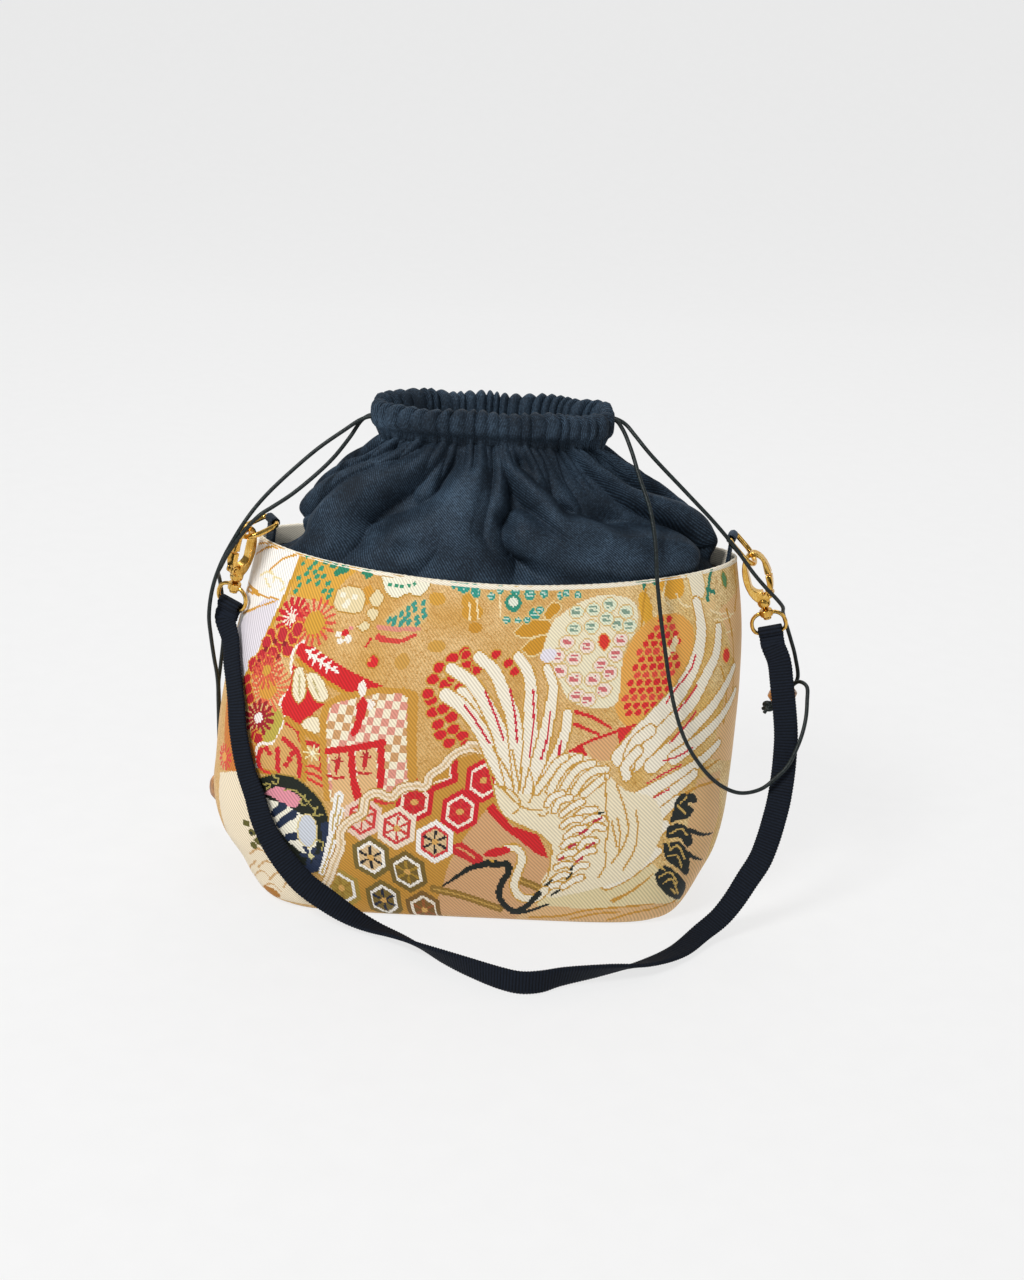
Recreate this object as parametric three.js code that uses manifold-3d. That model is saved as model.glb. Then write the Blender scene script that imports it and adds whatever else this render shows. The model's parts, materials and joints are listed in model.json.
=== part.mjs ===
// Kinchaku drawstring pouch: a boxed brocade body, a gathered collar with two drawcords,
// and a webbing strap that clips to a ring at each side with a swivel snap hook.
// Millimetres, +Z up, +X to the right, front towards -Y. The origin is under the base.

import * as THREE from "three";
import { mergeVertices } from "three/addons/utils/BufferGeometryUtils.js";
import Module from "manifold-3d";

const wasm = await Module();
wasm.setup();

// Driving sizes of the body
const shellWall = 1.5;
const liningWall = 1.0;
const collarWall = 1.2;
const fitGap = 0.4;
const rimHeight = 178;
const rimEndRise = 2;
const rimFrontDip = 3.5;
const collarHemHeight = rimHeight - 9.3;
const collarTipInset = 7;
const liningTop = collarHemHeight - 0.7;
const bodyPoints = 48;

// Sections of the filled body: height, half width, sideways shift, half depth, squareness
const bodySections = [
  [0, 102, -3.5, 55, 6],
  [2.5, 107, -4, 57.5, 5.6],
  [8, 112.5, -4.5, 59, 5],
  [20, 120, -5, 60, 4.2],
  [32, 128, -6.5, 60.5, 3.6],
  [48, 132, -7, 60.5, 3.2],
  [66, 132, -6, 60, 3],
  [90, 131.3, -4.7, 58.5, 2.8],
  [118, 129, -2.2, 56, 2.5],
  [148, 124.5, 0.5, 52, 2.2],
  [rimHeight, 118.5, 1, 47, 1.8],
];

// Casing at the mouth: a cloth tunnel that both drawcords run through
const mouthRise = 58.5;
const casingHeight = 13.5;
const casingBottom = rimHeight + mouthRise;
const casingTop = casingBottom + casingHeight;
const casingHalfWidth = 54.3;
const casingHalfDepth = 12.4;
const casingShift = -5;
const casingSquareness = 2.8;
const casingHalfThickness = 3.9;
const tunnelHalfThickness = 2.6;
const tunnelBottom = casingBottom + 2.7;
const tunnelTop = casingTop - 2;
const exitHalfWidth = 4.4;
const exitHeight = 4.6;

// Sections of the gathered collar above the rim, as in bodySections
const collarSections = [
  [rimHeight + 3, 109.4, 3.2, 43.6, 1.82],
  [rimHeight + 9, 107.6, 4.6, 42.6, 1.8],
  [rimHeight + 16, 104.4, 3.2, 40.5, 1.85],
  [rimHeight + 24, 99, 1.8, 37, 1.9],
  [rimHeight + 32, 92, 0.4, 33, 1.95],
  [rimHeight + 40, 84, -1.4, 28.5, 2],
  [rimHeight + 48, 74, -2.8, 23.8, 2.1],
  [rimHeight + 54, 64.5, -4, 19.6, 2.3],
];
const foldCount = 12;
const foldHeight = 2.4;
const foldBottom = rimHeight + 4;
const foldTop = rimHeight + 56;

// Drawcords, beads and knots
const cordRadius = 1;
const cordSides = 8;
const cordSteps = 80;
const strandOffset = cordRadius + 0.15;
const leftCordHeight = casingBottom + 4.9;
const rightCordHeight = casingBottom + 9.3;
const beadRadius = 6;
const beadLength = 12;
const boreClearance = 0.75;
const beadBore = strandOffset + cordRadius + boreClearance;
const knotRadius = 3.6;
const seatGap = 0.3;

// Side rings, with a straight bar held by the tab and a round bow that the hook hangs on
const ringWire = 1.4;
const ringHalfWidth = 8.5;
const ringStraight = 8.6;
const ringCorner = 2.6;
const tabWidth = 10;
const tabThickness = 1.6;
const tabWall = 1.2;
const tabFootHeight = rimHeight - 6;
const tabRimGap = 2.8;

// Snap hooks, measured from the ring wire that they hang on
const hookHalfWidth = 7.25;
const hookHalfLength = 14;
const hookCrown = 6.3;
const hookThickness = 4.6;
const hookSlotHalfWidth = 4.05;
const hookSlotHalfLength = 9.5;
const ringSeat = 2.4;
const hookBallRadius = 3.4;
const hookBallHeight = -21.6;
const gatePin = { x: 4, z: -17, radius: 0.65, clearance: 0.3 };
const gateTop = -6.5;
const gateSplit = 0.9;
const cheekRadius = 2.2;
const tongueThickness = 2;
const stemRadius = 1.2;
const stemBottom = -30.4;
const rivetRadius = 2.1;
const rivetHeight = 1.2;

// Swivel eyes under the hooks
const eyeWire = 1.1;
const eyeHalfWidth = 8.5;
const eyeCollarRadius = 3.2;
const eyeCollarTop = -25.4;
const eyeCollarHeight = 3.5;
const eyeBarHeight = -37.75;

// Webbing strap
const strapWidth = 12;
const strapThickness = 1.8;
const loopClearance = 0.4;
const loopFoldWidth = 12.2;
const loopFoldLength = 6.6;

// Where the ring, hook and strap end lie at each side
const sides = {
  left: {
    ringBar: new THREE.Vector3(-110.1, -6.1, rimHeight + 10.4),
    ringFacing: new THREE.Vector3(-0.906, -0.423, 0),
    ringSlope: 22,
    bowAngle: 27,
    hookUp: new THREE.Vector3(0.211, -0.089, 0.973),
    eyeBar: new THREE.Vector3(0.85, -0.5, 0),
    strapDown: new THREE.Vector3(0.1, -0.3, -0.95),
  },
  right: {
    ringBar: new THREE.Vector3(115.9, -2.9, rimHeight + 12.5),
    ringFacing: new THREE.Vector3(0.968, -0.25, 0),
    ringSlope: 44,
    bowAngle: 0,
    hookUp: new THREE.Vector3(-0.316, 0, 0.949),
    eyeBar: new THREE.Vector3(0.95, -0.2, 0.3),
    strapDown: new THREE.Vector3(0.2, -0.45, -0.87),
  },
};

// The strap's route from the left end to the right end: centre, then the way its upper face looks
const strapRoute = [
  [[-128.8, -19.6, 129.1], [-0.58, -0.81, 0]],
  [[-127.6, -25.4, 121], [-0.6, -0.8, 0]],
  [[-125.9, -29.9, 113], [-0.62, -0.78, 0]],
  [[-124.1, -35.1, 103], [-0.62, -0.78, 0]],
  [[-122.8, -39.4, 92.3], [-0.6, -0.8, 0]],
  [[-120.8, -43.1, 82.8], [-0.55, -0.83, 0]],
  [[-118.8, -45.6, 75.3], [-0.52, -0.85, 0.02]],
  [[-116.4, -48, 68.3], [-0.48, -0.87, 0.05]],
  [[-113, -51, 60.7], [-0.42, -0.9, 0.1]],
  [[-108.9, -54.4, 48.8], [-0.36, -0.91, 0.2]],
  [[-103.7, -57.4, 39.1], [-0.32, -0.88, 0.34]],
  [[-96.4, -60.6, 29.6], [-0.28, -0.82, 0.5]],
  [[-86.8, -63.6, 19.9], [-0.22, -0.72, 0.65]],
  [[-74.2, -66, 11.6], [-0.12, -0.52, 0.84]],
  [[-62.5, -69.4, 5.8], [-0.02, -0.2, 0.97]],
  [[-51.5, -74, 3], [0.08, 0.14, 0.98]],
  [[-38, -83.6, 3.8], [0.2, 0.42, 0.88]],
  [[-18.8, -101, 5.6], [0.3, 0.8, 0.5]],
  [[-3.7, -111.6, 6.1], [0.35, 0.9, 0.22]],
  [[11, -120, 6.2], [0.32, 0.94, 0.02]],
  [[20.4, -123, 6.2], [0, 1, 0]],
  [[29.8, -121.4, 6.2], [-0.32, 0.94, 0.02]],
  [[40, -116.2, 6.1], [-0.42, 0.87, 0.25]],
  [[60.5, -108, 5.5], [-0.34, 0.72, 0.6]],
  [[80.5, -98, 3.8], [-0.2, 0.36, 0.91]],
  [[98, -83, 2.4], [-0.16, 0.06, 0.98]],
  [[111, -68, 4.6], [-0.34, -0.3, 0.88]],
  [[120.7, -61, 9.9], [-0.5, -0.5, 0.7]],
  [[127.3, -57.2, 17.7], [-0.56, -0.64, 0.5]],
  [[133.2, -54.2, 27.7], [-0.52, -0.76, 0.36]],
  [[139.1, -51, 37.6], [-0.44, -0.86, 0.26]],
  [[142.5, -48, 47.5], [-0.36, -0.9, 0.2]],
  [[144.9, -45, 57.2], [-0.3, -0.92, 0.2]],
  [[146.8, -42, 66.9], [-0.26, -0.93, 0.22]],
  [[148.3, -37, 78.4], [-0.22, -0.91, 0.34]],
  [[148.9, -33, 87.6], [-0.2, -0.9, 0.38]],
  [[149, -29, 96.7], [-0.18, -0.9, 0.4]],
  [[147.8, -24, 108.1], [-0.18, -0.9, 0.4]],
  [[146, -19, 119.5], [-0.18, -0.9, 0.4]],
  [[144.1, -14, 130.3], [-0.18, -0.88, 0.4]],
];

// The drawcords' free strands, from the casing to the start of the straight run into the bead
const cordRoutes = {
  left: {
    front: [
      [-68.5, -2.2, 239.8], [-76, -4.4, 234.8], [-88, -7, 226], [-100, -11, 215.5], [-110.4, -15.5, 205.5],
      [-116.3, -20.5, 199.1], [-121.1, -24.5, 192.6], [-126.4, -25, 183.5], [-131.8, -22.5, 172.8],
      [-136, -20, 162], [-138.6, -17.6, 152.1], [-140.2, -15, 140], [-140.2, -9.6, 127], [-139.6, -4, 113],
      [-139.2, 0.8, 103.6],
    ],
    back: [
      [-68, 0.8, 239], [-73.5, -3.4, 231], [-82, -12, 221], [-98.2, -18, 206.5], [-108, -22, 200],
      [-113.6, -23.8, 196.4], [-119.9, -25, 189.8], [-124.6, -26, 183.5], [-129.4, -25, 176], [-133, -21.4, 168.6],
      [-135.6, -14.6, 163], [-136.2, -8, 158.6], [-136, -4.4, 153], [-135.6, -3, 147], [-135.2, -2.2, 140],
      [-135.4, -0.4, 124], [-137.4, 3.4, 108],
    ],
    runStart: [-139, 4.6, 96],
    beadCentre: [-142.5, 31, 24],
  },
  right: {
    front: [
      [57.6, -3.4, 242], [62, -9, 233.5], [66.6, -18, 221.6], [71.7, -27, 209.4], [74.5, -34, 196.8],
      [76.5, -40.6, 178.9], [79.6, -44.6, 160.3], [82.4, -48, 146.4], [85.4, -50.6, 132.1], [89.4, -52.4, 117.4],
      [95.5, -53.2, 102.2], [104.1, -52.2, 88.8], [115.4, -49.2, 77.1], [126.3, -46.4, 71.9], [137.1, -43, 73],
      [144.3, -41, 78.7], [149.6, -39, 84.2], [153.2, -36.4, 91.4], [156.2, -32.4, 98.4], [158.2, -27.5, 105.4],
      [159.2, -21, 112.2], [159.4, -14.4, 117.6],
    ],
    back: [
      [59, 0.8, 243.6], [64, -3, 239], [71.4, -8, 231.6], [91.8, -14.4, 213.2], [104.7, -18, 201.4],
      [115.4, -20.4, 190.2], [126, -17, 176.8], [133.8, -15.4, 168.4], [139.2, -13.4, 163], [143.8, -9, 157.2],
      [145.4, -3, 152], [147.8, -1.2, 146], [151.4, -0.8, 137], [154.6, -1.4, 128],
    ],
    runStart: [155.8, -8, 117.6],
    beadCentre: [149, -8, 110],
  },
};

// The value of each column at a height, on a smooth curve through the sections
function sectionAt(sections, height) {
  const last = sections.length - 1;
  const z = THREE.MathUtils.clamp(height, sections[0][0], sections[last][0]);
  let low = 0;
  while (low < last - 1 && sections[low + 1][0] <= z) low += 1;
  const step = sections[low + 1][0] - sections[low][0];
  const t = (z - sections[low][0]) / step;
  const slope = (row, column) => {
    const below = sections[Math.max(row - 1, 0)];
    const above = sections[Math.min(row + 1, last)];
    return ((above[column] - below[column]) / (above[0] - below[0])) * step;
  };
  const value = (column) => {
    const h00 = 2 * t ** 3 - 3 * t ** 2 + 1;
    const h10 = t ** 3 - 2 * t ** 2 + t;
    const h01 = 3 * t ** 2 - 2 * t ** 3;
    const h11 = t ** 3 - t ** 2;
    const start = h00 * sections[low][column] + h10 * slope(low, column);
    return start + h01 * sections[low + 1][column] + h11 * slope(low + 1, column);
  };
  return { halfWidth: value(1), shift: value(2), halfDepth: value(3), squareness: value(4) };
}

// A point on a rounded section; angle 0 is to the right, a quarter turn is the back
function sectionPoint(section, angle, widthInset = 0, depthInset = widthInset) {
  const power = 2 / section.squareness;
  const c = Math.cos(angle);
  const s = Math.sin(angle);
  const x = section.shift + (section.halfWidth - widthInset) * Math.sign(c) * Math.abs(c) ** power;
  const y = (section.halfDepth - depthInset) * Math.sign(s) * Math.abs(s) ** power;
  return [x, y];
}

function ringAt(section, height, count, widthInset = 0, depthInset = widthInset, change = null) {
  const ring = [];
  for (let i = 0; i < count; i += 1) {
    const angle = (i / count) * Math.PI * 2;
    const [x, y] = sectionPoint(section, angle, widthInset, depthInset);
    const point = new THREE.Vector3(x, y, height);
    if (change) change(point, angle);
    ring.push(point);
  }
  return ring;
}

// A closed body through rings of points: capped at both ends, or joined end to start
function loft(rings, joined = false) {
  const count = rings[0].length;
  const positions = rings.flat().flatMap((p) => [p.x, p.y, p.z]);
  const index = [];
  const links = joined ? rings.length : rings.length - 1;
  for (let i = 0; i < links; i += 1) {
    const next = (i + 1) % rings.length;
    for (let j = 0; j < count; j += 1) {
      const k = (j + 1) % count;
      const [a, b] = [i * count + j, i * count + k];
      const [c, d] = [next * count + k, next * count + j];
      index.push(a, b, c, a, c, d);
    }
  }
  if (!joined) {
    for (const [row, flip] of [[0, true], [rings.length - 1, false]]) {
      const middle = rings[row].reduce((sum, p) => sum.add(p), new THREE.Vector3());
      middle.divideScalar(count);
      const centre = positions.length / 3;
      positions.push(middle.x, middle.y, middle.z);
      for (let j = 0; j < count; j += 1) {
        const [a, b] = [row * count + j, row * count + ((j + 1) % count)];
        index.push(centre, ...(flip ? [b, a] : [a, b]));
      }
    }
  }
  const geometry = new THREE.BufferGeometry();
  geometry.setAttribute("position", new THREE.Float32BufferAttribute(positions, 3));
  geometry.setIndex(index);
  return geometry;
}

// Exact joins and cuts
function solid(geometry) {
  const bare = geometry.clone();
  bare.deleteAttribute("normal");
  bare.deleteAttribute("uv");
  const merged = mergeVertices(bare, 1e-4);
  const mesh = new wasm.Mesh({
    numProp: 3,
    vertProperties: Float32Array.from(merged.attributes.position.array),
    triVerts: Uint32Array.from(merged.index.array),
  });
  return new wasm.Manifold(mesh);
}

function toGeometry(body) {
  const mesh = body.getMesh();
  const geometry = new THREE.BufferGeometry();
  geometry.setAttribute("position", new THREE.BufferAttribute(mesh.vertProperties, 3));
  geometry.setIndex(new THREE.BufferAttribute(mesh.triVerts, 1));
  return geometry;
}

function box(width, depth, height, x = 0, y = 0, z = 0) {
  return solid(new THREE.BoxGeometry(width, depth, height).translate(x, y, z));
}

// A round bar along Y, as pins and bores of the hooks are
function crossBar(radius, length, x, z, sides = 14) {
  const bar = new THREE.CylinderGeometry(radius, radius, length, sides);
  return solid(bar.translate(x, 0, z));
}

// A round bar along Z, as the stem and the collar of the swivel are
function uprightBar(radius, bottom, top, sides = 14) {
  const bar = new THREE.CylinderGeometry(radius, radius, top - bottom, sides);
  bar.rotateX(Math.PI / 2).translate(0, 0, (bottom + top) / 2);
  return solid(bar);
}

// A plate of constant thickness whose outline is drawn in X and Z
function plate(shape, thickness, segments = 16) {
  const geometry = new THREE.ExtrudeGeometry(shape, {
    depth: thickness,
    bevelEnabled: false,
    curveSegments: segments,
  });
  geometry.translate(0, 0, -thickness / 2).rotateX(Math.PI / 2);
  return solid(geometry);
}

const materials = {
  brocade: { color: 0xc9a05c, roughness: 0.62, metalness: 0.1 },
  lining: { color: 0x20262e, roughness: 0.85, metalness: 0 },
  collar: { color: 0x26323f, roughness: 0.8, metalness: 0 },
  cord: { color: 0x141a1a, roughness: 0.5, metalness: 0 },
  bead: { color: 0xd9a873, roughness: 0.55, metalness: 0 },
  metal: { color: 0xd8a648, roughness: 0.22, metalness: 1 },
  webbing: { color: 0x1b2230, roughness: 0.85, metalness: 0 },
};

const pouch = new THREE.Group();

function addMesh(name, geometry, material, parent = pouch) {
  geometry.computeVertexNormals();
  const mesh = new THREE.Mesh(geometry, new THREE.MeshStandardMaterial(materials[material]));
  mesh.name = name;
  parent.add(mesh);
  return mesh;
}

// The rim is highest at its two ends and dips at the front and back
function rimLift(point) {
  const outwards = ((point.x - 1) / 118.5) ** 2;
  point.z += rimEndRise * outwards - rimFrontDip * (1 - outwards);
}

// Brocade body: flat boxed base, full sides and a folded rim
function makeShell() {
  const count = bodyPoints;
  const heights = bodySections.map((row) => row[0]);
  const rings = [];
  for (const z of heights) {
    const change = z === rimHeight ? rimLift : null;
    rings.push(ringAt(sectionAt(bodySections, z), z, count, 0, 0, change));
  }
  rings.push(ringAt(sectionAt(bodySections, rimHeight), rimHeight, count, shellWall, shellWall, rimLift));
  const inner = heights.filter((z) => z > 2 * shellWall && z < rimHeight);
  for (const z of [...inner, liningTop].reverse()) rings.push(ringAt(sectionAt(bodySections, z), z, count, shellWall));
  rings.push(ringAt(sectionAt(bodySections, 0), shellWall, count, shellWall + 1));
  return loft(rings);
}

// Lining: a thin bag just inside the body, up to the hem of the collar
function makeLining() {
  const count = bodyPoints / 2;
  const outside = shellWall + fitGap;
  const inside = outside + liningWall;
  const floor = shellWall + fitGap;
  const heights = bodySections.map((row) => row[0]).filter((z) => z > floor + liningWall && z < liningTop);
  heights.push(liningTop);
  const rings = [ringAt(sectionAt(bodySections, 0), floor, count, outside + 2)];
  for (const z of heights) rings.push(ringAt(sectionAt(bodySections, z), z, count, outside));
  for (const z of heights.toReversed()) rings.push(ringAt(sectionAt(bodySections, z), z, count, inside));
  rings.push(ringAt(sectionAt(bodySections, 0), floor + liningWall, count, inside + 2));
  return loft(rings);
}

// Gathers of the collar: soft folds that fade out at the hem and below the casing
function gather(point, angle, centreX) {
  const t = THREE.MathUtils.clamp((point.z - foldBottom) / (foldTop - foldBottom), 0, 1);
  const strength = foldHeight * Math.sin(Math.PI * t) ** 0.8;
  const wave = Math.cos(foldCount * angle + 0.6) + 0.35 * Math.cos(2 * angle - 0.8);
  const outwards = new THREE.Vector2(point.x - centreX, point.y * 2).normalize();
  point.x += outwards.x * strength * wave;
  point.y += outwards.y * strength * wave;
}

function casingSection(offset) {
  return {
    halfWidth: casingHalfWidth + offset,
    shift: casingShift,
    halfDepth: casingHalfDepth + offset,
    squareness: casingSquareness,
  };
}

// Collar: from the seam inside the rim, over the gathers, up to the hollow casing round the mouth
function makeCollar() {
  const count = 72;
  const hem = [
    { z: collarHemHeight, section: sectionAt(bodySections, collarHemHeight) },
    { z: rimHeight - rimFrontDip, section: sectionAt(bodySections, rimHeight) },
  ];
  const wall = (inset, rows) => {
    const rings = [];
    for (const { z, section } of hem) {
      rings.push(ringAt(section, z, count, collarTipInset + inset, shellWall + fitGap + inset));
    }
    for (const row of rows) {
      const section = sectionAt(collarSections, row[0]);
      const change = (point, angle) => gather(point, angle, section.shift);
      rings.push(ringAt(section, row[0], count, inset, inset, change));
    }
    return rings;
  };
  const casingRing = (offset, z) => ringAt(casingSection(offset), z, count);
  const half = casingHalfThickness;
  const rings = [
    ...wall(0, collarSections),
    casingRing(half - 0.9, casingBottom),
    casingRing(half, casingBottom + 2.5),
    casingRing(half, casingTop - 1.6),
    casingRing(half - 1.2, casingTop),
    casingRing(-half + 1.2, casingTop),
    casingRing(-half, casingTop - 1.6),
    casingRing(-half, casingBottom + 2.5),
    casingRing(half - 0.9 - collarWall, casingBottom),
    ...wall(collarWall, collarSections.filter((row, i) => i % 2 === 0 || i === 7)).reverse(),
  ];
  const tunnel = [
    casingRing(tunnelHalfThickness, tunnelBottom),
    casingRing(tunnelHalfThickness, tunnelTop),
    casingRing(-tunnelHalfThickness, tunnelTop),
    casingRing(-tunnelHalfThickness, tunnelBottom),
  ];
  const reach = casingHalfThickness * 3;
  const exit = (side, height) => {
    const x = casingShift + side * (casingHalfWidth + reach / 2);
    return box(reach, exitHalfWidth * 2, exitHeight, x, 0, height);
  };
  const body = solid(loft(rings, true))
    .subtract(solid(loft(tunnel, true)))
    .subtract(exit(-1, leftCordHeight))
    .subtract(exit(1, rightCordHeight));
  return toGeometry(body);
}

function cordSection() {
  const shape = new THREE.Shape();
  for (let i = 0; i < cordSides; i += 1) {
    const angle = (i / cordSides) * Math.PI * 2;
    const corner = [cordRadius * Math.cos(angle), cordRadius * Math.sin(angle)];
    if (i === 0) shape.moveTo(...corner);
    else shape.lineTo(...corner);
  }
  shape.closePath();
  return shape;
}

function vectors(points) {
  return points.map((p) => new THREE.Vector3(...p));
}

// The straight run into a bead: its direction, and the sideways step between the two strands
function beadAxis(route) {
  const start = new THREE.Vector3(...route.runStart);
  const centre = new THREE.Vector3(...route.beadCentre);
  const along = centre.clone().sub(start).normalize();
  const beside = new THREE.Vector3(0, 1, 0).addScaledVector(along, -along.y).normalize();
  return { start, centre, along, beside };
}

// One drawcord: knot, front strand, once round the casing, back strand, knot
function makeCord(side, sign, height) {
  const route = cordRoutes[side];
  const { start, centre, along, beside } = beadAxis(route);
  const end = centre.clone().addScaledVector(along, beadLength / 2);
  const runLength = start.distanceTo(end);
  const run = (offset) => {
    const stops = Math.max(2, Math.round(runLength / 9));
    const points = [];
    for (let i = 0; i <= stops; i += 1) {
      points.push(start.clone().addScaledVector(along, (runLength * i) / stops));
    }
    return points.map((p) => p.addScaledVector(beside, offset));
  };
  const middle = casingSection(0);
  const around = [];
  const turns = 18;
  const gap = 0.15;
  for (let i = 0; i <= turns; i += 1) {
    const sweep = gap + (i / turns) * (2 * Math.PI - 2 * gap);
    const angle = sign > 0 ? -sweep : Math.PI + sweep;
    const [x, y] = sectionPoint(middle, angle);
    around.push(new THREE.Vector3(x, y, height));
  }
  const doorX = casingShift + sign * (casingHalfWidth + casingHalfThickness + 0.8);
  const door = (y) => new THREE.Vector3(doorX, y, height);
  const points = [
    ...run(-strandOffset).reverse(),
    ...vectors(route.front).reverse(),
    door(-1.7),
    ...around,
    door(1.7),
    ...vectors(route.back),
    ...run(strandOffset),
  ];
  const curve = new THREE.CatmullRomCurve3(points, false, "centripetal");
  curve.arcLengthDivisions = 1200;
  return new THREE.ExtrudeGeometry(cordSection(), {
    steps: cordSteps,
    bevelEnabled: false,
    extrudePath: curve,
  });
}

// Wooden bead with the bore that both strands run through
function makeBead(route) {
  const half = beadLength / 2;
  const profile = [
    [beadBore, -half], [beadRadius * 0.78, -half], [beadRadius * 0.95, -half * 0.62], [beadRadius, 0],
    [beadRadius * 0.95, half * 0.62], [beadRadius * 0.78, half], [beadBore, half], [beadBore, -half],
  ].map((p) => new THREE.Vector2(...p));
  const { centre, along } = beadAxis(route);
  const geometry = new THREE.LatheGeometry(profile, 18);
  const turn = new THREE.Quaternion().setFromUnitVectors(new THREE.Vector3(0, 1, 0), along);
  geometry.applyQuaternion(turn).translate(centre.x, centre.y, centre.z);
  return toGeometry(solid(geometry));
}

// Stopper knot under the bead: a core with two turns of cord wrapped over it
function makeKnot(route) {
  const { centre, along } = beadAxis(route);
  const wrap = (tiltX, tiltZ) => {
    const ring = new THREE.TorusGeometry(knotRadius - 1.2, 1.2, 5, 10);
    return solid(ring.rotateX(Math.PI / 2 + tiltX).rotateZ(tiltZ));
  };
  const core = new THREE.SphereGeometry(2.3, 8, 5);
  const body = solid(core).add(wrap(0.3, 0)).add(wrap(-0.35, 0.5));
  const low = body.boundingBox().min[1];
  const away = beadLength / 2 + seatGap - low;
  const geometry = toGeometry(body);
  const turn = new THREE.Quaternion().setFromUnitVectors(new THREE.Vector3(0, 1, 0), along);
  const place = centre.clone().addScaledVector(along, away);
  return geometry.applyQuaternion(turn).translate(place.x, place.y, place.z);
}

// Side ring: a round wire along a D outline, its straight bar along Y through the origin
function makeRing() {
  const outline = new THREE.Shape();
  const flat = ringHalfWidth - ringCorner;
  outline.moveTo(0, flat);
  outline.lineTo(0, -flat);
  outline.absarc(ringCorner, -flat, ringCorner, Math.PI, 1.5 * Math.PI, false);
  outline.lineTo(ringStraight, -ringHalfWidth);
  outline.absarc(ringStraight, 0, ringHalfWidth, -Math.PI / 2, Math.PI / 2, false);
  outline.lineTo(ringCorner, ringHalfWidth);
  outline.absarc(ringCorner, flat, ringCorner, Math.PI / 2, Math.PI, false);
  const stops = outline.getSpacedPoints(28).slice(0, -1);
  const rings = stops.map((p, i) => {
    const before = stops[(i + stops.length - 1) % stops.length];
    const after = stops[(i + 1) % stops.length];
    const tangent = after.clone().sub(before).normalize();
    return circleAcross(new THREE.Vector3(p.x, p.y, 0), new THREE.Vector3(tangent.x, tangent.y, 0),
      new THREE.Vector3(0, 0, 1), ringWire, 8);
  });
  return loft(rings, true);
}

// A circle of points square to a path, its first point towards up
function circleAcross(centre, tangent, up, radius, count) {
  const right = new THREE.Vector3().crossVectors(tangent, up).normalize();
  const top = new THREE.Vector3().crossVectors(right, tangent).normalize();
  const points = [];
  for (let i = 0; i < count; i += 1) {
    const angle = (i / count) * Math.PI * 2;
    const point = centre.clone().addScaledVector(top, radius * Math.cos(angle));
    points.push(point.addScaledVector(right, radius * Math.sin(angle)));
  }
  return points;
}

// Cloth tab: a loop round the ring's bar and a tongue down into the seam of the rim
function makeTab(place) {
  const bore = ringWire + fitGap;
  const outer = bore + tabWall;
  const facing = place.ringFacing;
  const section = sectionAt(bodySections, tabFootHeight);
  const inside = shellWall + fitGap + tabRimGap + tabThickness / 2;
  const rimPoint = pointAtDepth(section, place.ringBar.y, Math.sign(facing.x), inside);
  const lean = (rimPoint - place.ringBar.x) * Math.sign(facing.x) * Math.abs(facing.x);
  const drop = place.ringBar.z - tabFootHeight;
  const length = Math.hypot(lean, drop);
  const tongue = new THREE.BoxGeometry(tabThickness, tabWidth, length).translate(0, 0, -length / 2);
  tongue.rotateY(-Math.atan2(lean, drop));
  const body = solid(tongue)
    .add(crossBar(outer, tabWidth, 0, 0, 18))
    .subtract(crossBar(bore, tabWidth * 2, 0, 0, 18));
  return toGeometry(body);
}

// The X of a section's outline, set in by inset, at a given Y on the right or the left
function pointAtDepth(section, y, side, inset) {
  const share = Math.abs(y / (section.halfDepth - inset)) ** section.squareness;
  const width = (section.halfWidth - inset) * (1 - share) ** (1 / section.squareness);
  return section.shift + side * width;
}

// Hook body without its gate: X towards the gate, Z up the hook, Y through its thickness
function makeHookBody() {
  const ovalCentre = hookCrown - hookHalfLength;
  const slotTop = ringWire + ringSeat - hookSlotHalfWidth;
  const slotBottom = slotTop - 2 * (hookSlotHalfLength - hookSlotHalfWidth);
  const oval = new THREE.Shape();
  oval.absellipse(0, ovalCentre, hookHalfWidth, hookHalfLength, 0, Math.PI * 2, false, 0);
  const slot = new THREE.Path();
  slot.absarc(0, slotTop, hookSlotHalfWidth, 0, Math.PI, false);
  slot.absarc(0, slotBottom, hookSlotHalfWidth, Math.PI, 2 * Math.PI, false);
  oval.holes.push(slot);
  const frame = plate(oval, hookThickness, 15);
  const reach = hookHalfWidth * 2;
  const gateBox = (low, high, left) => box(reach, reach, high - low, left + reach / 2, 0, (low + high) / 2);
  const ball = solid(new THREE.SphereGeometry(hookBallRadius, 12, 8).translate(0, 0, hookBallHeight));
  const bore = gatePin.radius + gatePin.clearance;
  const slotHalf = tongueThickness / 2 + gatePin.clearance;
  const tongueRoom = crossBar(cheekRadius + 0.6, slotHalf * 2, gatePin.x, gatePin.z);
  const body = frame
    .subtract(gateBox(gatePin.z, gateTop, 0.8))
    .add(crossBar(cheekRadius, hookThickness, gatePin.x, gatePin.z))
    .add(ball)
    .add(uprightBar(stemRadius, stemBottom, hookBallHeight))
    .add(uprightBar(rivetRadius, stemBottom - 0.2, stemBottom - 0.2 + rivetHeight))
    .subtract(tongueRoom)
    .subtract(crossBar(bore, reach, gatePin.x, gatePin.z, 12));
  return { body, frame, gateBox };
}

const hookModel = makeHookBody();

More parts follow.
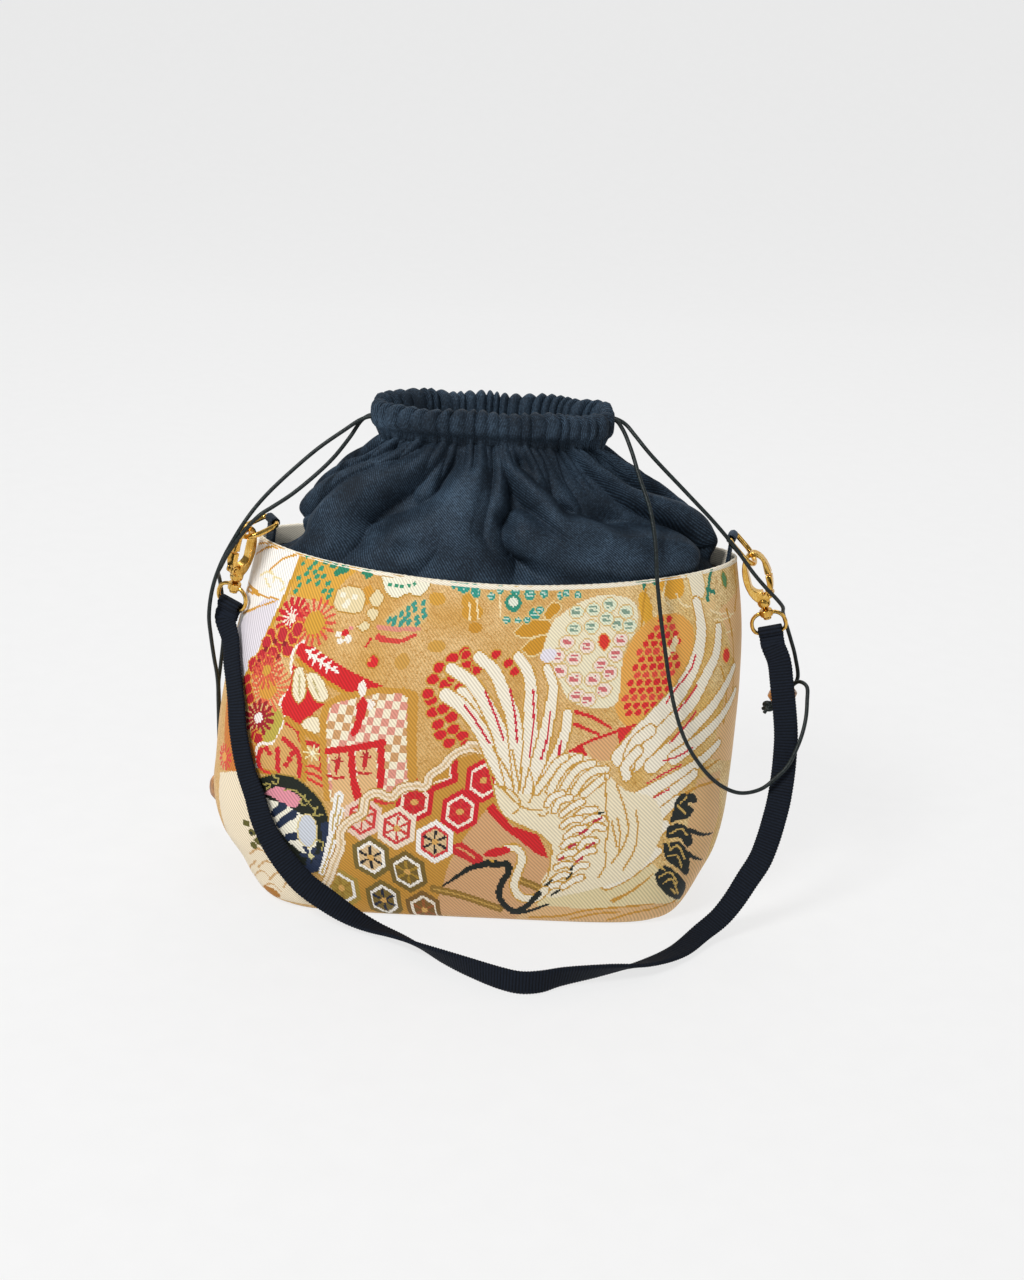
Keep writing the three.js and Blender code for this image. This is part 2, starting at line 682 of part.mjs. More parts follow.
// Spring gate: a full-width lever with a thin tongue between the hook's two cheeks
function makeGate() {
  const { frame, gateBox } = hookModel;
  const bore = gatePin.radius + gatePin.clearance;
  const outline = frame.intersect(gateBox(gatePin.z + 1.6, gateTop - gateSplit, 2.4));
  const lever = outline.subtract(crossBar(cheekRadius + 0.3, hookThickness * 2, gatePin.x, gatePin.z));
  const tongueHeight = 3.6;
  const tongue = box(2, tongueThickness, tongueHeight, gatePin.x + 1, 0, gatePin.z + tongueHeight / 2)
    .add(crossBar(cheekRadius - 0.3, tongueThickness, gatePin.x, gatePin.z));
  const body = lever.add(tongue).subtract(crossBar(bore, hookThickness * 2, gatePin.x, gatePin.z, 12));
  return toGeometry(body);
}

function makePin() {
  return toGeometry(crossBar(gatePin.radius, hookThickness + 0.4, gatePin.x, gatePin.z, 10));
}

// Swivel eye: a short collar round the hook's stem and a wire eye that ends in a straight bar
function makeEye() {
  const half = [
    [-2.3, -27.2], [-5, -27.7], [-7.6, -29.9], [-eyeHalfWidth, -33], [-8.1, -35.8],
    [-6.6, eyeBarHeight + 0.2], [-4.4, eyeBarHeight],
  ];
  const mirrored = half.map(([x, z]) => [-x, z]).reverse();
  const stops = [...half, [0, eyeBarHeight], ...mirrored].map(([x, z]) => new THREE.Vector3(x, 0, z));
  const curve = new THREE.CatmullRomCurve3(stops, false, "centripetal");
  const steps = 22;
  const rings = [];
  for (let i = 0; i <= steps; i += 1) {
    const t = i / steps;
    rings.push(circleAcross(curve.getPointAt(t), curve.getTangentAt(t), new THREE.Vector3(0, 1, 0), eyeWire, 6));
  }
  const bottom = eyeCollarTop - eyeCollarHeight;
  const body = solid(loft(rings))
    .add(uprightBar(eyeCollarRadius, bottom, eyeCollarTop, 18))
    .subtract(uprightBar(stemRadius + 0.35, bottom - 2, eyeCollarTop + 2, 12));
  return toGeometry(body);
}

// A group whose X, Y and Z follow a facing direction and an up direction
function placed(origin, facing, up) {
  const z = up.clone().normalize();
  const x = facing.clone().addScaledVector(z, -facing.dot(z)).normalize();
  const y = new THREE.Vector3().crossVectors(z, x);
  const group = new THREE.Group();
  group.quaternion.setFromRotationMatrix(new THREE.Matrix4().makeBasis(x, y, z));
  group.position.copy(origin);
  pouch.add(group);
  return group;
}

// The point of the ring's bow that the hook hangs on, and the way the hook faces there
function hookPlace(side, place) {
  const slope = THREE.MathUtils.degToRad(place.ringSlope);
  const bow = THREE.MathUtils.degToRad(place.bowAngle);
  const out = place.ringFacing.clone().normalize();
  const front = new THREE.Vector3(-out.y, out.x, 0).multiplyScalar(side === "left" ? 1 : -1);
  const reach = ringStraight + ringHalfWidth * Math.cos(bow);
  const origin = place.ringBar.clone()
    .addScaledVector(out, reach * Math.cos(slope))
    .addScaledVector(front, ringHalfWidth * Math.sin(bow));
  origin.z -= reach * Math.sin(slope);
  const facing = out.multiplyScalar(Math.cos(bow)).addScaledVector(front, Math.sin(bow));
  return { origin, facing };
}

// The strap's end at a swivel eye: bar centre, bar direction and the way down
function strapEnd(side, place) {
  const { origin } = hookPlace(side, place);
  const up = place.hookUp.clone().normalize();
  const bar = place.eyeBar.clone().addScaledVector(up, -place.eyeBar.dot(up)).normalize();
  const centre = origin.clone().addScaledVector(up, eyeBarHeight);
  const down = place.strapDown.clone().addScaledVector(bar, -place.strapDown.dot(bar)).normalize();
  const face = new THREE.Vector3().crossVectors(down, bar).normalize();
  if (face.y > 0) face.negate();
  return { centre, bar, down, face };
}

// The folded loop at a strap end: a doubled stretch below a tube of webbing round the eye's bar
function makeLoop(end) {
  const bore = eyeWire + loopClearance;
  const outer = bore + strapThickness;
  const along = -loopFoldLength / 2;
  const body = crossBar(outer, loopFoldWidth, 0, 0, 18)
    .add(box(strapThickness * 2, loopFoldWidth, loopFoldLength, 0, 0, along - bore / 2))
    .subtract(crossBar(bore, loopFoldWidth * 2, 0, 0, 18));
  const up = end.down.clone().negate();
  const across = new THREE.Vector3().crossVectors(up, end.face);
  const frame = new THREE.Matrix4().makeBasis(end.face, across, up).setPosition(end.centre);
  return solid(toGeometry(body).applyMatrix4(frame));
}

// Strap: one band of webbing, its section turned along the route, with a sewn loop at each end
function makeStrap() {
  const ends = Object.entries(sides).map(([side, place]) => strapEnd(side, place));
  const entry = (end) => {
    const start = end.centre.clone().addScaledVector(end.face, strapThickness / 2);
    return [3, 6.5].map((d) => [start.clone().addScaledVector(end.down, d), end.face]);
  };
  const stops = [
    ...entry(ends[0]),
    ...strapRoute.map(([p, n]) => [new THREE.Vector3(...p), new THREE.Vector3(...n)]),
    ...entry(ends[1]).reverse(),
  ];
  const path = new THREE.CatmullRomCurve3(stops.map((s) => s[0]), false, "catmullrom", 0.5);
  const faces = new THREE.CatmullRomCurve3(stops.map((s) => s[1].clone()), false, "catmullrom", 0.5);
  const steps = Math.round(stops.length * 1.6);
  const rings = [];
  for (let i = 0; i <= steps; i += 1) {
    const t = i / steps;
    const tangent = path.getTangent(t);
    const across = new THREE.Vector3().crossVectors(faces.getPoint(t), tangent).normalize();
    const face = new THREE.Vector3().crossVectors(tangent, across).normalize();
    const corners = [[-1, -1], [1, -1], [1, 1], [-1, 1]];
    rings.push(corners.map(([a, b]) => path.getPoint(t)
      .addScaledVector(across, (a * strapWidth) / 2)
      .addScaledVector(face, (b * strapThickness) / 2)));
  }
  let body = solid(loft(rings));
  for (const end of ends) body = body.add(makeLoop(end));
  return toGeometry(body);
}

addMesh("outer_shell", makeShell(), "brocade");
addMesh("lining", makeLining(), "lining");
addMesh("gathered_collar", makeCollar(), "collar");
addMesh("drawcord_left", makeCord("left", -1, leftCordHeight), "cord");
addMesh("drawcord_right", makeCord("right", 1, rightCordHeight), "cord");

for (const [side, place] of Object.entries(sides)) {
  addMesh(`bead_${side}`, makeBead(cordRoutes[side]), "bead");
  addMesh(`knot_${side}`, makeKnot(cordRoutes[side]), "cord");
  const upright = new THREE.Vector3(0, 0, 1);
  const tabGroup = placed(place.ringBar, place.ringFacing, upright);
  addMesh(`ring_tab_${side}`, makeTab(place), "collar", tabGroup);
  const ringGroup = placed(place.ringBar, place.ringFacing, upright);
  ringGroup.rotateY(THREE.MathUtils.degToRad(place.ringSlope));
  addMesh(`side_ring_${side}`, makeRing(), "metal", ringGroup);
  const { origin, facing } = hookPlace(side, place);
  const hookGroup = placed(origin, facing, place.hookUp);
  addMesh(`hook_body_${side}`, toGeometry(hookModel.body), "metal", hookGroup);
  addMesh(`hook_gate_${side}`, makeGate(), "metal", hookGroup);
  addMesh(`gate_pin_${side}`, makePin(), "metal", hookGroup);
  const eyeGroup = placed(origin, place.eyeBar, place.hookUp);
  addMesh(`swivel_eye_${side}`, makeEye(), "metal", eyeGroup);
}

addMesh("strap", makeStrap(), "webbing");

export default pouch;
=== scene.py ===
# %% [markdown]
# # A kinchaku drawstring pouch
# A kinchaku is a small Japanese bag: a stiff body of woven brocade, and a soft cotton collar sewn into
# its rim that two drawcords gather shut. This one also has a webbing strap on two gilt snap hooks.
# The sizes and the moving parts come from a CAD frame. This lesson gives each of them its real shape
# and its real finish, one piece at a time, and leaves the frame where it is.

# %% Tools and the frame
import json
import math

import bpy
import numpy as np
from mathutils import Matrix, Vector

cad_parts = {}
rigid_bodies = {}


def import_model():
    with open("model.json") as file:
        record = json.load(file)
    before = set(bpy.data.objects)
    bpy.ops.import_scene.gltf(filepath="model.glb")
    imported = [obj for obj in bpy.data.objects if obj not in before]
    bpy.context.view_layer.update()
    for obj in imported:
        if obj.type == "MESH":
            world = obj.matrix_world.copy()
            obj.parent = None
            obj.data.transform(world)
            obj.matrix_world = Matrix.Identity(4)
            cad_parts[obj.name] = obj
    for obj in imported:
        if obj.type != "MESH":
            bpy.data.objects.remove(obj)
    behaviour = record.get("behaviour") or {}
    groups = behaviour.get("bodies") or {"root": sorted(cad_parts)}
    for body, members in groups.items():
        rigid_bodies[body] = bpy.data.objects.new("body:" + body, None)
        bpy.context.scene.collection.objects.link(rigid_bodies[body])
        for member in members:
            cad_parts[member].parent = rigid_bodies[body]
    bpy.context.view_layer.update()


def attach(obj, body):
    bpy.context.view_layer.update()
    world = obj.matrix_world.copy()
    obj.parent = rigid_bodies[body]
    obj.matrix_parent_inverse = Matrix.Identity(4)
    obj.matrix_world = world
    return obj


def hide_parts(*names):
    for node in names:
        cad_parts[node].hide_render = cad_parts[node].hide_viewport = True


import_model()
MM = 0.001

# %% [markdown]
# The camera comes first, because every piece is judged through it. It stands where the photographer
# stood: in front, a little above the mouth, and rolled by a few degrees, as a hand-held camera is.
# The frame is 1024 by 1280, so the field of view belongs to its long side.

# %% Camera
CAMERA_TURN = math.radians(-1.5)
CAMERA_RISE = math.radians(21)
CAMERA_ROLL = math.radians(3.3)
CAMERA_DISTANCE = 0.850
CAMERA_LENS = 47.78
CAMERA_TARGET = Vector((0.0101, -0.010, 0.1331))

camera_data = bpy.data.cameras.new("camera")
camera_data.sensor_width = 36
camera_data.lens = CAMERA_LENS
camera = bpy.data.objects.new("camera", camera_data)
bpy.context.scene.collection.objects.link(camera)
back = Vector((
    math.sin(CAMERA_TURN) * math.cos(CAMERA_RISE),
    -math.cos(CAMERA_TURN) * math.cos(CAMERA_RISE),
    math.sin(CAMERA_RISE),
))
level = Vector((math.cos(CAMERA_TURN), math.sin(CAMERA_TURN), 0))
upright = back.cross(level)
right = level * math.cos(CAMERA_ROLL) + upright * math.sin(CAMERA_ROLL)
up = upright * math.cos(CAMERA_ROLL) - level * math.sin(CAMERA_ROLL)
turned = Matrix((right, up, back)).transposed().to_4x4()
camera.matrix_world = Matrix.Translation(CAMERA_TARGET + back * CAMERA_DISTANCE) @ turned
bpy.context.scene.camera = camera
print("camera at", [round(v, 3) for v in camera.matrix_world.translation])

# %% [markdown]
# A material is a small network of nodes. One helper makes a node, sets its values and joins its
# inputs, and every finish below is built with it. Colours are written as sRGB hex, the way a designer
# picks them, and one function turns them into the linear numbers that the shader expects.

# %% Helpers for colours and nodes
def linear(hex_colour):
    """An sRGB hex colour as linear red, green, blue and alpha."""
    values = [int(hex_colour[i:i + 2], 16) / 255 for i in (1, 3, 5)]
    return [v / 12.92 if v <= 0.04045 else ((v + 0.055) / 1.055) ** 2.4 for v in values] + [1.0]


def add_node(material, kind, values=None, joins=None, **settings):
    """One node with its settings, its input values and its input links."""
    node = material.node_tree.nodes.new(kind)
    for name, value in settings.items():
        setattr(node, name, value)
    for name, value in (values or {}).items():
        node.inputs[name].default_value = value
    for name, source in (joins or {}).items():
        material.node_tree.links.new(source, node.inputs[name])
    return node


def new_material(name, **values):
    """A material with its shader, whose values are the same all over the surface."""
    material = bpy.data.materials.new(name)
    material.use_nodes = True
    shader = material.node_tree.nodes["Principled BSDF"]
    for socket, value in values.items():
        shader.inputs[socket.replace("_", " ")].default_value = value
    return material, shader


def join(material, source, shader, socket):
    material.node_tree.links.new(source, shader.inputs[socket])


def ramp(material, source, stops, interpolation="LINEAR"):
    """A colour for each value of source, from a list of position and colour."""
    node = add_node(material, "ShaderNodeValToRGB", joins={"Fac": source})
    bar = node.color_ramp
    bar.interpolation = interpolation
    while len(bar.elements) < len(stops):
        bar.elements.new(0.5)
    for element, (position, colour) in zip(bar.elements, stops):
        element.position = position
        element.color = linear(colour)
    return node.outputs["Color"]


# %% Helpers for meshes
def link_mesh(name, vertices, faces, material, smooth=True):
    """A new object at the origin, its place in its mesh. Vertices are in metres."""
    mesh = bpy.data.meshes.new(name)
    mesh.from_pydata([tuple(v) for v in vertices], [], [tuple(f) for f in faces])
    mesh.polygons.foreach_set("use_smooth", [smooth] * len(mesh.polygons))
    mesh.materials.append(material)
    piece = bpy.data.objects.new(name, mesh)
    bpy.context.scene.collection.objects.link(piece)
    return piece


def grid_faces(rows, columns, closed=False):
    """The quads of a grid of vertices, as an array. A closed grid joins its last column to its first."""
    across = columns if closed else columns - 1
    i, j = np.meshgrid(np.arange(rows - 1), np.arange(across), indexing="ij")
    k = (j + 1) % columns
    corners = (i * columns + j, i * columns + k, (i + 1) * columns + k, (i + 1) * columns + j)
    return np.stack(corners, -1).reshape(-1, 4)


def numbers(piece, name, values):
    """A value for each vertex, for a material to read."""
    attribute = piece.data.attributes.new(name, "FLOAT", "POINT")
    attribute.data.foreach_set("value", np.asarray(values, dtype=np.float32).ravel())


def smoothstep(low, high, value):
    t = np.clip((value - low) / (high - low), 0, 1)
    return t * t * (3 - 2 * t)


# %% Smooth curves through points
def through(points, closeness=0.5, steps=12):
    """Points on a smooth curve through the given ones. 0.5 keeps it inside its own bends."""
    points = np.asarray(points, dtype=float)
    first = 2 * points[0] - points[1]
    last = 2 * points[-1] - points[-2]
    padded = np.vstack([first, points, last])
    line = []
    for i in range(len(points) - 1):
        p0, p1, p2, p3 = padded[i:i + 4]
        d0, d1, d2 = [max(np.linalg.norm(b - a) ** closeness, 1e-6) for a,
            b in ((p0, p1), (p1, p2), (p2, p3))]
        m1 = ((p1 - p0) / d0 - (p2 - p0) / (d0 + d1) + (p2 - p1) / d1) * d1
        m2 = ((p2 - p1) / d1 - (p3 - p1) / (d1 + d2) + (p3 - p2) / d2) * d1
        for t in np.arange(steps) / steps:
            a, b = 2 * t ** 3 - 3 * t ** 2 + 1, t ** 3 - 2 * t ** 2 + t
            c, d = 3 * t ** 2 - 2 * t ** 3, t ** 3 - t ** 2
            line.append(a * p1 + b * m1 + c * p2 + d * m2)
    line.append(points[-1])
    return np.array(line)


def evenly(line, spacing):
    """The same line with its points a fixed distance apart."""
    lengths = np.r_[0, np.cumsum(np.linalg.norm(np.diff(line, axis=0), axis=1))]
    count = max(2, int(round(lengths[-1] / spacing)) + 1)
    at = np.linspace(0, lengths[-1], count)
    return np.stack([np.interp(at, lengths, line[:, i]) for i in range(line.shape[1])], -1)


def length_of(line):
    return float(np.linalg.norm(np.diff(line, axis=0), axis=1).sum())


def unit(vectors):
    vectors = np.asarray(vectors, dtype=float)
    return vectors / np.maximum(np.linalg.norm(vectors, axis=-1, keepdims=True), 1e-12)


# %% [markdown]
# The two drawcords are braided cord of 2 mm. Each is one length: it starts at a knot, runs up through
# its bead, goes once round the mouth inside the casing, and comes back down through the same bead to
# the knot. The route repeats the points that the CAD frame was made with, so both lie in one place.

# %% The routes of the drawcords
CORD_RADIUS = 1.0 * MM
STRAND_OFFSET = 1.15 * MM
BEAD_LENGTH = 12 * MM
CASING = {"half_width": 54.3, "half_depth": 12.4, "shift": -5, "squareness": 2.8, "thickness": 3.9}

CORD_ROUTES = {
    "left": {
        "sign": -1,
        "height": 241.4,
        "front": [
            (-68.5, -2.2, 239.8), (-76, -4.4, 234.8), (-88, -7, 226), (-100, -11, 215.5),
            (-110.4, -15.5, 205.5),
            (-116.3, -20.5, 199.1), (-121.1, -24.5, 192.6), (-126.4, -25, 183.5), (-131.8, -22.5, 172.8),
            (-136, -20, 162), (-138.6, -17.6, 152.1), (-140.2, -15, 140), (-140.2, -9.6, 127),
            (-139.6, -4, 113),
            (-139.2, 0.8, 103.6),
        ],
        "back": [
            (-68, 0.8, 239), (-73.5, -3.4, 231), (-82, -12, 221), (-98.2, -18, 206.5), (-108, -22, 200),
            (-113.6, -23.8, 196.4), (-119.9, -25, 189.8), (-124.6, -26, 183.5), (-129.4, -25, 176),
            (-133, -21.4, 168.6), (-135.6, -14.6, 163), (-136.2, -8, 158.6), (-136, -4.4, 153),
            (-135.6, -3, 147),
            (-135.2, -2.2, 140), (-135.4, -0.4, 124), (-137.4, 3.4, 108),
        ],
        "run_start": (-139, 4.6, 96),
        "bead_centre": (-142.5, 31, 24),
    },
    "right": {
        "sign": 1,
        "height": 245.8,
        "front": [
            (57.6, -3.4, 242), (62, -9, 233.5), (66.6, -18, 221.6), (71.7, -27, 209.4),
            (74.5, -34, 196.8),
            (76.5, -40.6, 178.9), (79.6, -44.6, 160.3), (82.4, -48, 146.4), (85.4, -50.6, 132.1),
            (89.4, -52.4, 117.4), (95.5, -53.2, 102.2), (104.1, -52.2, 88.8), (115.4, -49.2, 77.1),
            (126.3, -46.4, 71.9), (137.1, -43, 73), (144.3, -41, 78.7), (149.6, -39, 84.2),
            (153.2, -36.4, 91.4),
            (156.2, -32.4, 98.4), (158.2, -27.5, 105.4), (159.2, -21, 112.2), (159.4, -14.4, 117.6),
        ],
        "back": [
            (59, 0.8, 243.6), (64, -3, 239), (71.4, -8, 231.6), (91.8, -14.4, 213.2), (104.7, -18, 201.4),
            (115.4, -20.4, 190.2), (126, -17, 176.8), (133.8, -15.4, 168.4), (139.2, -13.4, 163),
            (143.8, -9, 157.2), (145.4, -3, 152), (147.8, -1.2, 146), (151.4, -0.8, 137),
            (154.6, -1.4, 128),
        ],
        "run_start": (155.8, -8, 117.6),
        "bead_centre": (149, -8, 110),
    },
}


def rounded_point(half_width, half_depth, shift, squareness, angle):
    """A point of a rounded oval in millimetres. Angle 0 is to the right, a quarter turn is the back."""
    c, s = np.cos(angle), np.sin(angle)
    x = shift + half_width * np.sign(c) * np.abs(c) ** (2 / squareness)
    y = half_depth * np.sign(s) * np.abs(s) ** (2 / squareness)
    return x, y


def bead_axis(side):
    """Where the straight run into the bead starts, the bead's centre, the way down and the way beside."""
    route = CORD_ROUTES[side]
    start = np.array(route["run_start"]) * MM
    centre = np.array(route["bead_centre"]) * MM
    along = unit(centre - start)
    beside = unit(np.array((0, 1, 0)) - along * along[1])
    return start, centre, along, beside


def cord_line(side):
    """The whole route of one drawcord, from knot to knot, in metres."""
    route = CORD_ROUTES[side]
    start, centre, along, beside = bead_axis(side)
    run_length = float(np.linalg.norm(centre + along * BEAD_LENGTH / 2 - start))
    stops = max(2, round(run_length / MM / 9))
    run = np.array([start + along * run_length * i / stops for i in range(stops + 1)])
    around = []
    for i in range(19):
        sweep = 0.15 + i / 18 * (2 * math.pi - 0.3)
        angle = -sweep if route["sign"] > 0 else math.pi + sweep
        x, y = rounded_point(CASING["half_width"], CASING["half_depth"], CASING["shift"],
            CASING["squareness"], angle)
        around.append((x, y, route["height"]))
    door = CASING["shift"] + route["sign"] * (CASING["half_width"] + CASING["thickness"] + 0.8)
    middle = [*route["front"][::-1], (door, -1.7, route["height"]),
        *around, (door, 1.7, route["height"]), *route["back"]]
    points = np.vstack([(run - beside * STRAND_OFFSET)[::-1],
        np.array(middle) * MM, run + beside * STRAND_OFFSET])
    return through(points)


cord_lines = {side: evenly(cord_line(side), 1.2 * MM) for side in CORD_ROUTES}
for side, line in cord_lines.items():
    print("drawcord", side, "is", round(length_of(line) * 1000), "mm long")

# %% [markdown]
# The cord is a tight braid of waxed polyester, near black with a hint of green, and it has a soft shine.
# A curve with a round bevel is the quickest true cord. The plaits of the braid are 1.3 mm apart, and a
# pattern of rounded cells of that size raises the surface between them, so they need no shape of their own.

# %% Braided cord
def braided_cord(name, plait):
    material, shader = new_material(name, Roughness=0.5, Specular_IOR_Level=0.3)
    place = add_node(material, "ShaderNodeTexCoord")
    spots = add_node(material, "ShaderNodeTexNoise", {"Scale": 900.0, "Detail": 3.0},
        {"Vector": place.outputs["Object"]})
    colour = ramp(material, spots.outputs["Fac"],
        [(0.3, "#0d1213"), (0.55, "#1a2323"), (0.75, "#2b3634")])
    cells = add_node(
        material, "ShaderNodeTexVoronoi", {"Scale": 1 / plait, "Randomness": 0.35},
        {"Vector": place.outputs["Object"]},
    )
    bump = add_node(material, "ShaderNodeBump", {"Strength": 0.5, "Distance": 0.0003},
        {"Height": cells.outputs["Distance"]})
    join(material, colour, shader, "Base Color")
    join(material, bump.outputs["Normal"], shader, "Normal")
    return material


cord_finish = braided_cord("waxed polyester braid", 1.3 * MM)


def cord_curve(name, line, radius, material):
    """One open curve along the line, as thick as the cord."""
    data = bpy.data.curves.new(name, "CURVE")
    data.dimensions = "3D"
    spline = data.splines.new("POLY")
    spline.points.add(len(line) - 1)
    spline.points.foreach_set("co", np.c_[line, np.ones(len(line))].ravel())
    spline.use_smooth = True
    data.bevel_depth = radius
    data.bevel_resolution = 3
    data.use_fill_caps = True
    data.materials.append(material)
    piece = bpy.data.objects.new(name, data)
    bpy.context.scene.collection.objects.link(piece)
    return piece


cords = {}
for side, line in cord_lines.items():
    cords[side] = cord_curve("drawcord_" + side + "_braid", line, CORD_RADIUS, cord_finish)
    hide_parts("drawcord_" + side)
    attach(cords[side], "bag")

# %% [markdown]
# Under each bead both ends are tied in one overhand knot, with the cut ends left a few millimetres long.
# A closed knot is a short formula: three loops that pass over and under each other. A tube of the same
# cord follows it.

# %% Knots
def tube(line, radius, sides=10, closed=False):
    """The vertices and faces of a tube round a line."""
    line = np.asarray(line)
    ahead = np.roll(line, -1, 0) - np.roll(line, 1, 0) if closed else np.gradient(line, axis=0)
    tangents = unit(ahead)
    normal = unit(np.cross(tangents[0], (0.3, 0.5, 0.8)))
    rings = []
    angles = np.arange(sides) / sides * 2 * math.pi
    for point, tangent in zip(line, tangents):
        normal = unit(normal - tangent * normal.dot(tangent))
        across = np.cross(tangent, normal)
        rings.append(point + radius * (np.cos(angles)[:, None] * normal + np.sin(angles)[:, None] * across))
    rings = np.array(rings)
    if closed:
        turn = np.argmin(np.linalg.norm(rings[0] - rings[-1][0], axis=1))
        faces = [(i * sides + j, i * sides + (j + 1) % sides, (i + 1) * sides + (j + 1) % sides,
            (i + 1) * sides + j)
                 for i in range(len(line) - 1) for j in range(sides)]
        last = (len(line) - 1) * sides
        faces += [(last + j, last + (j + 1) % sides, (turn + j + 1) % sides,
            (turn + j) % sides) for j in range(sides)]
        return rings.reshape(-1, 3), faces
    faces = [tuple(f) for f in grid_faces(len(line), sides, closed=True)]
    faces += [tuple(range(sides))[::-1], tuple(len(rings) * sides - sides + j for j in range(sides))]
    return rings.reshape(-1, 3), faces


def tied_knot(side):
    """A tight overhand knot below the bead, with two cut ends."""
    start, centre, along, beside = bead_axis(side)
    across = np.cross(along, beside)
    seat = centre + along * (BEAD_LENGTH / 2 + 3.3 * MM)
    t = np.linspace(0, 2 * math.pi, 72, endpoint=False)
    loops = np.stack([np.sin(t) + 2 * np.sin(2 * t), np.cos(t) - 2 * np.cos(2 * t), -np.sin(3 * t)], -1)
    loops = loops * np.array((0.83, 0.83, 1.25)) * MM
    line = seat + loops[:, :1] * beside + loops[:, 1:2] * across + loops[:, 2:] * along
    vertices, faces = tube(line, 1.05 * MM, closed=True)
    vertices, faces = list(vertices), list(faces)
    for way in (-1, 1):
        end = [seat + beside * way * 1.1 * MM - along * 2.6 * MM, seat + beside * way * 1.3 * MM,
               seat + beside * way * 1.9 * MM + along * 2.4 * MM,
               seat + beside * way * 2.6 * MM + along * 3.7 * MM]
        more, more_faces = tube(evenly(through(end), 0.5 * MM), 0.95 * MM)
        faces += [tuple(i + len(vertices) for i in f) for f in more_faces]
        vertices += list(more)
    return link_mesh("knot_" + side + "_tied", vertices, faces, cord_finish)


knots = {}
for side in CORD_ROUTES:
    knots[side] = tied_knot(side)
    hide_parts("knot_" + side)
    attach(knots[side], "bag")
print("knots", [len(k.data.polygons) for k in knots.values()], "faces")

# %% [markdown]
# The body is a box-bottomed bag of stiff brocade. Its sections are rounded ovals: nearly a rectangle
# with soft corners at the base, fullest a quarter of the way up, and a pointed oval at the rim. The
# same table of sections drives the CAD frame, so the cloth below lies on it.

# %% The shape of the body
BODY_SECTIONS = [
    (0, 102, -3.5, 55, 6), (2.5, 107, -4, 57.5, 5.6), (8, 112.5, -4.5, 59, 5), (20, 120, -5, 60, 4.2),
    (32, 128, -6.5, 60.5, 3.6), (48, 132, -7, 60.5, 3.2), (66, 132, -6, 60, 3),
    (90, 131.3, -4.7, 58.5, 2.8),
    (118, 129, -2.2, 56, 2.5), (148, 124.5, 0.5, 52, 2.2), (178, 118.5, 1, 47, 1.8),
]
RIM_HEIGHT = 178
RIM_END_RISE = 2
RIM_FRONT_DIP = 3.5


def section_at(sections, height):
    """Half width, shift, half depth and squareness at each height, on smooth curves through the table."""
    table = np.array(sections, dtype=float)
    heights, columns = table[:, 0], table[:, 1:]
    slopes = np.gradient(columns, heights, axis=0, edge_order=1)
    inner = (columns[2:] - columns[:-2]) / (heights[2:] - heights[:-2])[:, None]
    slopes[1:-1] = inner
    z = np.clip(np.asarray(height, dtype=float), heights[0], heights[-1])
    low = np.clip(np.searchsorted(heights, z, side="right") - 1, 0, len(heights) - 2)
    step = (heights[low + 1] - heights[low])[..., None]
    t = (z - heights[low])[..., None] / step
    start = (2 * t ** 3 - 3 * t ** 2 + 1) * columns[low] + (t ** 3 - 2 * t ** 2 + t) * slopes[low] * step
    end = (3 * t ** 2 - 2 * t ** 3) * columns[low + 1] + (t ** 3 - t ** 2) * slopes[low + 1] * step
    return np.moveaxis(start + end, -1, 0)


def oval_ring(section, shares, inset=0.0):
    """Points of a section at equal shares of the way round from the middle of the front. 1 is one end."""
    half_width, shift, half_depth, squareness = section
    fine = np.linspace(-math.pi / 2, math.pi / 2, 721)
    x, y = rounded_point(half_width - inset, half_depth - inset, shift, squareness, fine)
    run = np.r_[0, np.cumsum(np.hypot(np.diff(x), np.diff(y)))]
    half = run[-1] / 2
    side = np.interp(np.abs(np.clip(shares, -2, 2)) * half, run, x) - shift
    depth = np.interp(np.abs(np.clip(shares, -2, 2)) * half, run, y)
    return shift + np.sign(shares) * side, depth, half


def rim_lift(x):
    outwards = ((x - 1) / 118.5) ** 2
    return RIM_END_RISE * outwards - RIM_FRONT_DIP * (1 - outwards)


# %% [markdown]
# The cloth is a grid of small squares, 0.8 mm across on the front, which is about one step of the
# weave. A share of -1 is the left end, 0 the middle of the front, 1 the right end and 2 the middle of
# the back. Along the cloth that is s, in millimetres from the middle of the front, and t is the way up.
# One unit of a UV map is 100 mm of cloth.

# %% The cloth of the body
CLOTH_HALF = 168.0
UV_UNIT = 100
FRONT_COLUMNS = 426
BACK_COLUMNS = 200
BODY_ROWS = 226


def body_heights(rows):
    """Heights of the rows from the base's edge to the rim, closer together round the base's corner."""
    line = np.linspace(0, 1, rows)
    return 0.4 + (RIM_HEIGHT - 0.4) * (0.93 * line + 0.07 * line ** 2)


def body_points(shares, rows):
    """A grid of points on the outside of the body, in millimetres."""
    grid = np.zeros((rows, len(shares), 3))
    for i, z in enumerate(body_heights(rows)):
        x, y, _ = oval_ring(section_at(BODY_SECTIONS, z), shares)
        lift = rim_lift(x) * smoothstep(RIM_HEIGHT - 34, RIM_HEIGHT, z)
        grid[i] = np.stack([x, y, z + lift], -1)
    return grid


def grid_normals(grid):
    """Unit normals of a grid of points, to the outside."""
    across = np.gradient(grid, axis=1)
    upwards = np.gradient(grid, axis=0)
    return unit(np.cross(across, upwards))


# %% [markdown]
# The picture is woven, not printed: each square of the grid takes one colour of silk or gilt thread, so
# every outline climbs in small steps, as it does in real brocade. The shapes are drawn here in
# millimetres of cloth with a few plain tools: an oval, a polygon, and a stroke along a curve.

